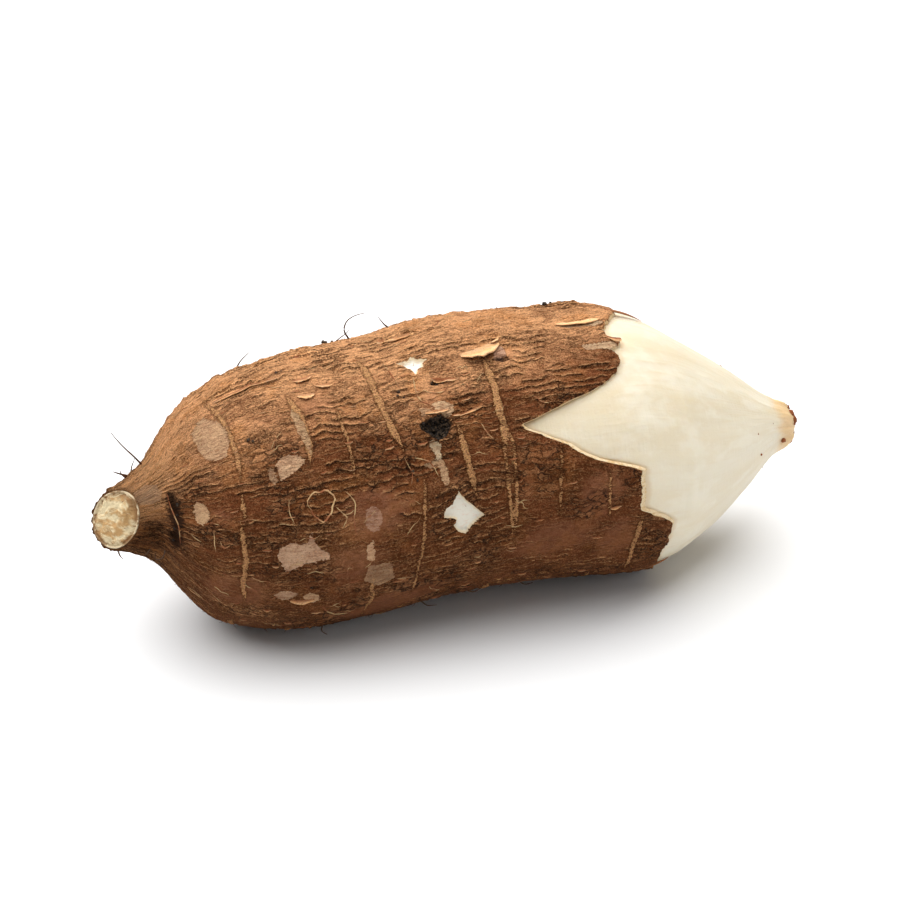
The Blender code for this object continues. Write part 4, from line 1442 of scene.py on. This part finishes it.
def flake_sheets(flakes, across, down, raggedness, chance):
    """Thin curled sheets on the bark, one for each row of along, turn, length, width, lift, skew
    and paleness: they narrow to both ends, and the lower edge is lifted. Returns points, faces,
    shade, which is 0 at the hinge and 1 at the lifted edge, and their places in the grain."""
    columns = np.asarray(flakes, float).T[..., None, None]
    along, turn, length, width, lift, skew, paleness = columns
    u = np.linspace(0.0, 1.0, across)[:, None]
    v = np.linspace(0.0, 1.0, down)[None, :]
    ragged = 1.0 + raggedness * chance.uniform(-1.0, 1.0, (len(flakes), across, 1))
    breadth = width * np.sin(math.pi * (0.08 + 0.86 * u)) ** 0.7 * ragged
    places = along + length * (u - 0.5) + 0 * v
    turns = turn + DEGREES_PER_MM * (v * breadth + skew * (u - 0.5) * length)
    rise = lift * v ** 1.6 * np.sin(math.pi * (0.1 + 0.85 * u))
    height = bark_height(places, turns)
    sheets = np.stack((skin(places, turns, height + FLAKE_OVER + rise),
                       skin(places, turns, height + FLAKE_UNDER + rise * 0.92)), axis=1)
    count = across * down
    sheet = grid_faces(across, down, closed=False)
    border = np.concatenate((
        np.arange(down),
        np.arange(1, across) * down + down - 1,
        (across - 1) * down + np.arange(down - 2, -1, -1),
        np.arange(across - 2, 0, -1) * down,
    ))
    beside = np.roll(border, -1)
    wall = np.stack((border, beside, beside + count, border + count), axis=-1)
    quads = np.concatenate((sheet, sheet[:, ::-1] + count, wall))
    grain = np.repeat(grain_place(places, turns)[:, None], 2, axis=1).reshape(-1, 3)
    face = np.clip(v ** 2 + paleness + 0 * places, 0.0, 1.0)
    shade = np.stack((face, np.maximum(face, 0.6)), axis=1)
    return sheets.reshape(-1, 3), repeated(quads, 2 * count, len(flakes)), shade.ravel(), grain


# Flakes placed one by one: along, turn, length, width, lift, skew, paleness
MAIN_FLAKES = (
    (113.6, 15, 12.5, 5.6, 2.4, -0.22, 0.6),
    (119, 11.8, 3.2, 1.8, 1.2, -0.5, 0.9),
    (45, 5, 20, 2, 0.8, 0.05, 0),
    (93, -6, 12, 2.8, 0.7, 0, 0.1),
    (147, 4.6, 14, 2.8, 1, 0.03, 1),
    (60, 20, 5, 2.6, 1, 0.1, 0.3),
    (100, 27, 7, 1.8, 1, 0.35, 0),
    (95.4, 40.4, 7, 1.2, 0.7, 0.1, 0.2),
    (104, 43.4, 9, 1.1, 0.7, -0.1, 0.1),
    (51, 112, 7, 1.2, 0.6, 0, 0.1),
    (155, 18.4, 4, 2.6, 0.9, 0.3, 0),
    (61, 10, 6, 2.6, 1, -0.1, 0.1),
    (66, 16, 5, 2.2, 0.9, 0.2, 0.2),
)
SCATTERED_FLAKES = 260
# Least and greatest of the same measures for the scattered ones
SCATTER_LOW = (22.0, -180.0, 1.2, 0.35, 0.10, -0.15, -0.6)
SCATTER_HIGH = (150.0, 180.0, 3.6, 0.75, 0.40, 0.15, 0.1)
SCATTER_EDGE_GAP = 6.0
SCATTER_MARK_GAP = 1.0
SCATTER_WORN_LIMIT = 0.4
# Points along a flake, points down it, and how ragged its edge is
LARGE_FLAKE = (12, 6, 0.06)
SMALL_FLAKE = (6, 3, 0.20)


def scattered_flakes(chance):
    """Places, sizes and tilts of the small flakes, kept where the bark is wrinkled."""
    flakes = chance.uniform(SCATTER_LOW, SCATTER_HIGH, (SCATTERED_FLAKES, len(SCATTER_LOW)))
    along, turn = flakes[:, 0], flakes[:, 1]
    near = bark_marks(along, turn)
    marked = np.maximum(np.maximum(near["chip"], near["soil"]), near["scuff"])
    clear = (marked < -SCATTER_MARK_GAP) & (near["worn"] < SCATTER_WORN_LIMIT)
    return flakes[clear & (along < peel_edge(turn) - SCATTER_EDGE_GAP)]


def make_flakes(material):
    """Loose scales of bark: a few large ones, and many small ones spread by chance."""
    chance = np.random.default_rng(SEEDS["flakes"])
    large = flake_sheets(MAIN_FLAKES, *LARGE_FLAKE, chance)
    small = flake_sheets(scattered_flakes(chance), *SMALL_FLAKE, chance)
    points, shade, grain = (np.concatenate((large[item], small[item])) for item in (0, 2, 3))
    quads = np.concatenate((large[1], small[1] + len(large[0])))
    attributes = {"shade": shade, "grain": grain}
    return make_piece("bark_flakes", points, quads, NO_TRIANGLES, material, attributes)


SOIL_CRUMBS = 260
SOIL_SPREAD = 5.4           # how far from the pit's middle its crumbs lie at most
SOIL_SIZES = (0.25, 0.62)
SOIL_EDGE_GAP = 0.1
# Crumbs on the bark away from the pit: along, turn, size
LOOSE_CRUMBS = (
    (75, -26, 0.9), (77.5, -26.5, 0.5), (145, -24, 0.8), (147, -24.5, 0.5),
    (130, -26, 0.6), (119, -27, 0.5), (41, 34, 0.6), (42, 35.5, 0.5),
    (98, 28.5, 0.6), (96.5, 27.5, 0.6), (99.5, 29, 0.5), (55, 1, 0.6), (56.5, 1.5, 0.5),
    (53.5, 105, 0.5), (18.5, 78, 0.5), (18, 90, 0.5), (19.4, 66, 0.5), (20, 58, 0.5),
    (86.4, 28, 0.5), (85.6, 30, 0.4), (87.4, 31, 0.4), (84.8, 62, 0.5), (86, 66, 0.5),
)


def make_soil(material):
    """Soil: crumbs crowded in the pit, more of them near its middle, and a few loose ones."""
    chance = np.random.default_rng(SEEDS["soil"])
    radius = SOIL_SPREAD * chance.uniform(0.0, 1.0, SOIL_CRUMBS) ** 0.6
    angle = chance.uniform(0.0, 2 * math.pi, SOIL_CRUMBS)
    along = SOIL_MIDDLE[0] + radius * np.cos(angle)
    turn = SOIL_MIDDLE[1] + np.degrees(radius * np.sin(angle) * 0.9 / GRAIN_RADIUS)
    within = outline_distance(along, turn, SOIL_PIT) > SOIL_EDGE_GAP
    size = chance.uniform(*SOIL_SIZES, SOIL_CRUMBS)
    crumbs = np.stack((along, turn, size), axis=-1)[within]
    crumbs = np.concatenate((crumbs, LOOSE_CRUMBS))
    along, turn, size = crumbs.T
    points, quads, triangles = lumps(on_bark(along, turn, size * 0.4), size, chance)
    return make_piece("soil_crumbs", points, quads, triangles, material)


# Specks on the flesh: along, turn, size
FLESH_SPECKS = (
    (204, 68, 0.42), (206, 92, 0.45), (210, 128, 0.5), (200, -8, 0.45),
    (218, 97, 0.9), (190, 40, 0.25), (213, 60, 0.3), (196, -60, 0.4),
)
# Bits of bark left at the tip: along from the tip, turn, size, stretches along X, Y and Z
TIP_SCRAPS = (
    (-5, -30, 1.5, (2, 1, 0.5)), (-3.2, -16, 1.5, (1.5, 1.1, 0.6)),
    (-1.9, 0, 1.5, (1, 1.2, 0.8)), (-1.3, 24, 1.4, (0.8, 1.1, 1.2)),
    (-1.2, 52, 1.3, (0.8, 1, 1.3)), (-1.4, -60, 1.6, (0.9, 1.1, 1)),
    (-1.1, -110, 1.5, (0.8, 1.1, 1.1)), (-1.2, 150, 1.4, (0.8, 1.2, 1)),
    (-1, -24, 1.3, (0.8, 1, 1)), (-2.2, 92, 0.9, (1, 0.7, 0.8)),
)
SPECK_PROUD, SCRAP_PROUD = 0.1, -0.9    # their middles over the flesh's form


def make_specks(material):
    """Specks of dirt on the flesh, and scraps of bark left round the tip."""
    chance = np.random.default_rng(SEEDS["specks"])
    along, turn, size = np.array(FLESH_SPECKS).T
    specks = lumps(skin(along, turn, SPECK_PROUD), size, chance)
    along, turn, size = (np.array([scrap[item] for scrap in TIP_SCRAPS]) for item in range(3))
    middles = skin(TIP_ALONG + along, turn, SCRAP_PROUD)
    points, quads, triangles = lumps(middles, size, chance)
    stretch = np.array([scrap[3] for scrap in TIP_SCRAPS])[:, None]
    points = (points.reshape(len(size), -1, 3) - middles[:, None]) * stretch + middles[:, None]
    points = np.concatenate((specks[0], points.reshape(-1, 3)))
    quads = np.concatenate((specks[1], quads + len(specks[0])))
    triangles = np.concatenate((specks[2], triangles + len(specks[0])))
    return make_piece("tip_scraps", points, quads, triangles, material)


# Strips of bark that reach past the torn edge over the flesh: half width, then along and turn
# of their middle line
SLIVERS = (
    (0.9, ((158.5, -3), (163, -4), (168, -6), (172.5, -7.5))),
    (0.6, ((163, 139), (167, 138), (171, 137.5))),
    (1, ((136, 264), (143, 263), (149, 261), (154, 260))),
)
SLIVER_POINTS, SLIVER_SIDES = 26, 10


def make_slivers(material):
    """Narrow strips of bark: flat tubes along smooth curves, thin as the skin and pointed."""
    routes = np.stack([curve_points(points, SLIVER_POINTS) for _, points in SLIVERS])[:, :, None]
    half_width = np.array([sliver[0] for sliver in SLIVERS])[:, None, None]
    end = np.linspace(0.0, 1.0, SLIVER_POINTS)[:, None]
    taper = np.minimum(1.0, 2.2 * (1.0 - end)) ** 0.7 + 0.05
    angle = np.linspace(0.0, 2 * math.pi, SLIVER_SIDES, endpoint=False)
    along = routes[..., 0] + 0 * angle
    turns = routes[..., 1] + np.degrees(half_width * taper / GRAIN_RADIUS) * np.cos(angle)
    proud = PEEL_THICKNESS * 0.8 * (1.0 - end) ** 0.8 + 0.25 + 0.35 * taper * np.sin(angle)
    rings = skin(along, turns, np.broadcast_to(proud, along.shape))
    poles = rings[:, (0, -1)].mean(axis=2)
    points = np.concatenate((rings.reshape(len(rings), -1, 3), poles), axis=1)
    quads, triangles = repeated_caps(SLIVER_POINTS, SLIVER_SIDES, len(points))
    grain = np.concatenate((grain_place(along, turns).reshape(len(rings), -1, 3),
                            grain_place(along[:, (0, -1), 0], turns[:, (0, -1), 0])), axis=1)
    attributes = {"grain": grain.reshape(-1, 3), "shade": np.full(points[..., 0].size, 0.15)}
    return make_piece(
        "bark_slivers", points.reshape(-1, 3), quads, triangles, material, attributes,
    )


# ---------------------------------------------------------------------------
# Stage
# ---------------------------------------------------------------------------

# What the camera looks at, in millimetres along, across and up from the root's own zero
VIEW_TARGET = (108.3, 0.0, 45.3)
LIGHT_TARGET = (0.0, 0.0, 0.04)
# Place and size of each light in metres
OVERHEAD_LIGHT = ((-0.20, 0.32, 1.15), (2.4, 2.2))
FILL_LIGHT = ((1.0, -0.9, 0.50), (1.2, 1.0))
FLOOR_REACH, FLOOR_POINTS = 3.0, 9
FLOOR_LEVEL = -0.0002       # metres, just under the belly
FLOOR_DARKER, FLOOR_LIGHTER = (0.755, 0.755, 0.755), (0.785, 0.785, 0.785)
NEAREST_SEEN = 0.01         # metres from the camera


def make_floor():
    """Broad level sheet with a faint unevenness in its white."""
    finish = Finish("floor")
    cloud = finish.noise(finish.place(), scale=0.004, detail=2.0)
    white = finish.mix(cloud, FLOOR_DARKER, FLOOR_LIGHTER)
    finish.set(Base_Color=white, Roughness=0.9, Specular_IOR_Level=0.0)
    reach = np.linspace(-FLOOR_REACH, FLOOR_REACH, FLOOR_POINTS)
    x, y = np.meshgrid(reach, reach)
    points = np.stack((x, y, 0 * x + FLOOR_LEVEL), axis=-1).reshape(-1, 3)
    quads = grid_faces(FLOOR_POINTS, FLOOR_POINTS, closed=False)
    mesh = bpy.data.meshes.new("floor")
    mesh.from_pydata(points.tolist(), [], quads.tolist())
    mesh.materials.append(finish.material)
    floor = bpy.data.objects.new("floor", mesh)
    bpy.context.scene.collection.objects.link(floor)


def add_surroundings(strength):
    """White surroundings. Seen straight on they are white, however weakly they light the root."""
    world = bpy.data.worlds.new("surroundings")
    world.use_nodes = True
    tree = world.node_tree
    sky = tree.nodes["Background"]
    sky.inputs["Color"].default_value = (1.0, 1.0, 1.0, 1.0)
    path = tree.nodes.new("ShaderNodeLightPath")
    seen = tree.nodes.new("ShaderNodeMath")
    seen.operation = "MULTIPLY_ADD"
    seen.inputs[1].default_value = 1.0 - strength
    seen.inputs[2].default_value = strength
    tree.links.new(path.outputs["Is Camera Ray"], seen.inputs[0])
    tree.links.new(seen.outputs[0], sky.inputs["Strength"])
    bpy.context.scene.world = world


def aim(thing, target):
    """Turn a camera or light so that it looks at a point."""
    heading = Vector(target) - thing.location
    thing.rotation_euler = heading.to_track_quat("-Z", "Y").to_euler()


def add_light(name, location, size, power):
    """Oblong light that faces the root."""
    lamp = bpy.data.lights.new(name, "AREA")
    lamp.shape = "RECTANGLE"
    lamp.size, lamp.size_y = size
    lamp.energy = power
    light = bpy.data.objects.new(name, lamp)
    light.location = location
    bpy.context.scene.collection.objects.link(light)
    aim(light, LIGHT_TARGET)


def add_camera(view):
    """Camera on a sphere round the root: azimuth 0 looks along +Y, and elevation looks down."""
    target = Vector((np.array(VIEW_TARGET) + SHIFT) * MM)
    azimuth, elevation = view.azimuth, view.elevation
    back = Vector((
        math.sin(azimuth) * math.cos(elevation),
        -math.cos(azimuth) * math.cos(elevation),
        math.sin(elevation),
    ))
    lens = bpy.data.cameras.new("camera")
    lens.lens = view.lens
    lens.clip_start = NEAREST_SEEN
    camera = bpy.data.objects.new("camera", lens)
    camera.location = target + back * view.distance
    bpy.context.scene.collection.objects.link(camera)
    aim(camera, target)
    bpy.context.scene.camera = camera


# ---------------------------------------------------------------------------
# Add-on
# ---------------------------------------------------------------------------


def colour_property(name, description, default):
    """A colour that a user can change."""
    return FloatVectorProperty(
        name=name, description=description, default=default, subtype="COLOR", min=0.0, max=1.0,
    )


class CassavaColours(bpy.types.PropertyGroup):
    """Colours of the root."""

    bark_dark: colour_property("Dark bark", "Deep brown of the bark", (0.092, 0.028, 0.007))
    bark_red: colour_property("Red bark", "Reddish brown of the bark", (0.190, 0.056, 0.019))
    bark_mid: colour_property("Brown bark", "Middle brown of the bark", (0.300, 0.098, 0.039))
    bark_worn: colour_property("Worn bark", "Grey-brown of smooth bark", (0.360, 0.148, 0.080))
    bark_tan: colour_property("Tan bark", "Dusty tan of the bark's top", (0.900, 0.445, 0.205))
    bark_orange: colour_property("Orange bark", "Ruddy orange patches", (0.580, 0.225, 0.065))
    lip: colour_property("Plate edge", "Bright tan of edges and sand", (0.940, 0.495, 0.220))
    crack: colour_property("Crack", "Nearly black brown inside the cracks", (0.022, 0.009, 0.005))
    ring_tan: colour_property("Growth ring", "Pale tan of the growth rings", (0.840, 0.450, 0.185))
    scuff_pink: colour_property("Pink scrape", "Pinkish grey of a scrape", (0.690, 0.430, 0.305))
    scuff_tan: colour_property("Tan scrape", "Yellow tan of a scrape", (0.800, 0.510, 0.280))
    rind: colour_property("Rind", "Cream of the torn peel's thickness", (0.720, 0.580, 0.380))
    rind_line: colour_property("Rind line", "Straw line in the torn peel", (0.580, 0.390, 0.190))
    chip: colour_property("Chip", "White where the peel is knocked off", (0.760, 0.720, 0.620))
    flesh: colour_property("Flesh", "Ivory of the flesh", (0.715, 0.640, 0.490))
    flesh_straw: colour_property("Straw flesh", "Yellow bands of the flesh", (0.680, 0.575, 0.395))
    flesh_pale: colour_property("Pale flesh", "Whitest places of the flesh", (0.780, 0.725, 0.595))
    tip: colour_property("Tip", "Orange-cream at the tip", (0.700, 0.470, 0.230))
    stem_pale: colour_property("Pale wood", "Ivory of the stem's wood", (0.740, 0.610, 0.380))
    stem_straw: colour_property("Straw wood", "Yellow of the stem's wood", (0.470, 0.255, 0.085))
    stem_brown: colour_property("Brown wood", "Brown between the fibres", (0.240, 0.120, 0.045))
    soil: colour_property("Soil", "Black soil", (0.014, 0.010, 0.008))
    soil_crumb: colour_property("Soil crumb", "Brown grains in the soil", (0.090, 0.055, 0.030))
    hair: colour_property("Hair root", "Grey-brown of a dry hair root", (0.110, 0.070, 0.045))


class CassavaSizes(bpy.types.PropertyGroup):
    """Sizes of the root's finish."""

    relief: FloatProperty(
        name="Relief", description="How strongly the bark's wrinkles stand out, as a factor",
        default=1.0, min=0.0, max=2.0, subtype="FACTOR",
    )


class CassavaView(bpy.types.PropertyGroup):
    """Camera and light."""

    azimuth: FloatProperty(
        name="Azimuth", description="Turn of the camera about the root, 0 looking along +Y",
        default=math.radians(-19.0), subtype="ANGLE",
    )
    elevation: FloatProperty(
        name="Elevation", description="Height of the camera as an angle",
        default=math.radians(28.0), subtype="ANGLE",
    )
    distance: FloatProperty(
        name="Distance", description="From the camera to the middle of the root",
        default=0.648, subtype="DISTANCE", unit="LENGTH",
    )
    lens: FloatProperty(
        name="Lens", description="Focal length in millimetres",
        default=85.0, subtype="DISTANCE_CAMERA",
    )
    light: FloatProperty(
        name="Light", description="Power of the large overhead light",
        default=55.0, min=0.0, unit="POWER",
    )
    fill: FloatProperty(
        name="Fill", description="Power of the weak light from the tip's side",
        default=4.2, min=0.0, unit="POWER",
    )
    sky: FloatProperty(
        name="Sky", description="Strength of the white surroundings", default=0.20, min=0.0,
    )


class CASSAVA_OT_bark(bpy.types.Operator):
    """Make the peel with its wrinkles, rings, scars and torn edge"""

    bl_idname = "cassava.bark"
    bl_label = "Bark"

    def execute(self, context):
        finish = bark_finish(context.scene.cassava_colours)
        piece = make_bark(finish, context.scene.cassava_sizes.relief)
        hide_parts(NODE)
        return {"FINISHED"}


class CASSAVA_OT_flesh(bpy.types.Operator):
    """Make the bared flesh and the tip"""

    bl_idname = "cassava.flesh"
    bl_label = "Flesh"

    def execute(self, context):
        piece = make_flesh(flesh_finish(context.scene.cassava_colours))
        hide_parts(NODE)
        return {"FINISHED"}


class CASSAVA_OT_stem_face(bpy.types.Operator):
    """Make the broken wood of the stem cut"""

    bl_idname = "cassava.stem_face"
    bl_label = "Stem face"

    def execute(self, context):
        piece = make_stem_face(stem_finish(context.scene.cassava_colours))
        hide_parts(NODE)
        return {"FINISHED"}


class CASSAVA_OT_roots(bpy.types.Operator):
    """Make the fine roots on the bark, and the hair roots and bristles that stand off it"""

    bl_idname = "cassava.roots"
    bl_label = "Fine roots"

    def execute(self, context):
        colours = context.scene.cassava_colours
        make_threads(fibre_finish("root_thread", colours.rind_line, colours.bark_mid))
        make_hairs(fibre_finish("hair_root", colours.hair, colours.bark_dark))
        make_bristles(fibre_finish("bristle", colours.bark_mid, colours.bark_dark))
        return {"FINISHED"}


class CASSAVA_OT_flakes(bpy.types.Operator):
    """Make the lifted flakes of bark and the slivers over the flesh"""

    bl_idname = "cassava.flakes"
    bl_label = "Flakes"

    def execute(self, context):
        finish = flake_finish(context.scene.cassava_colours)
        make_flakes(finish)
        make_slivers(finish)
        return {"FINISHED"}


class CASSAVA_OT_soil(bpy.types.Operator):
    """Make the soil in the pit, and the specks and scraps on the flesh"""

    bl_idname = "cassava.soil"
    bl_label = "Soil and specks"

    def execute(self, context):
        colours = context.scene.cassava_colours
        make_soil(soil_finish(colours))
        make_specks(fibre_finish("scrap", colours.bark_mid, colours.bark_red))
        return {"FINISHED"}


class CASSAVA_OT_stage(bpy.types.Operator):
    """Make the floor, the lights and the camera"""

    bl_idname = "cassava.stage"
    bl_label = "Stage"

    def execute(self, context):
        view = context.scene.cassava_view
        make_floor()
        add_light("overhead", *OVERHEAD_LIGHT, view.light)
        add_light("fill", *FILL_LIGHT, view.fill)
        add_surroundings(view.sky)
        context.scene.view_settings.view_transform = "Standard"
        add_camera(view)
        return {"FINISHED"}


class CASSAVA_PT_panel(bpy.types.Panel):
    """Lists the root's pieces in the order they are made"""

    bl_label = "Cassava Root"
    bl_idname = "CASSAVA_PT_panel"
    bl_space_type = "VIEW_3D"
    bl_region_type = "UI"
    bl_category = "Cassava"

    def draw(self, context):
        for operator in OPERATORS:
            self.layout.operator(operator.bl_idname)
        for group in (context.scene.cassava_sizes, context.scene.cassava_view,
                      context.scene.cassava_colours):
            for key in group.__annotations__:
                self.layout.prop(group, key)


OPERATORS = (
    CASSAVA_OT_bark, CASSAVA_OT_flesh, CASSAVA_OT_stem_face, CASSAVA_OT_roots,
    CASSAVA_OT_flakes, CASSAVA_OT_soil, CASSAVA_OT_stage,
)
GROUPS = {
    "cassava_colours": CassavaColours, "cassava_sizes": CassavaSizes, "cassava_view": CassavaView,
}


def register():
    for group in (*GROUPS.values(), *OPERATORS, CASSAVA_PT_panel):
        bpy.utils.register_class(group)
    for key, group in GROUPS.items():
        setattr(bpy.types.Scene, key, PointerProperty(type=group))


def unregister():
    for key in GROUPS:
        delattr(bpy.types.Scene, key)
    for group in (CASSAVA_PT_panel, *reversed(OPERATORS), *GROUPS.values()):
        bpy.utils.unregister_class(group)


def main():
    register()
    for operator in OPERATORS:
        family, name = operator.bl_idname.split(".")
        getattr(getattr(bpy.ops, family), name)()
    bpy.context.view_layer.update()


if __name__ == "__main__":
    main()
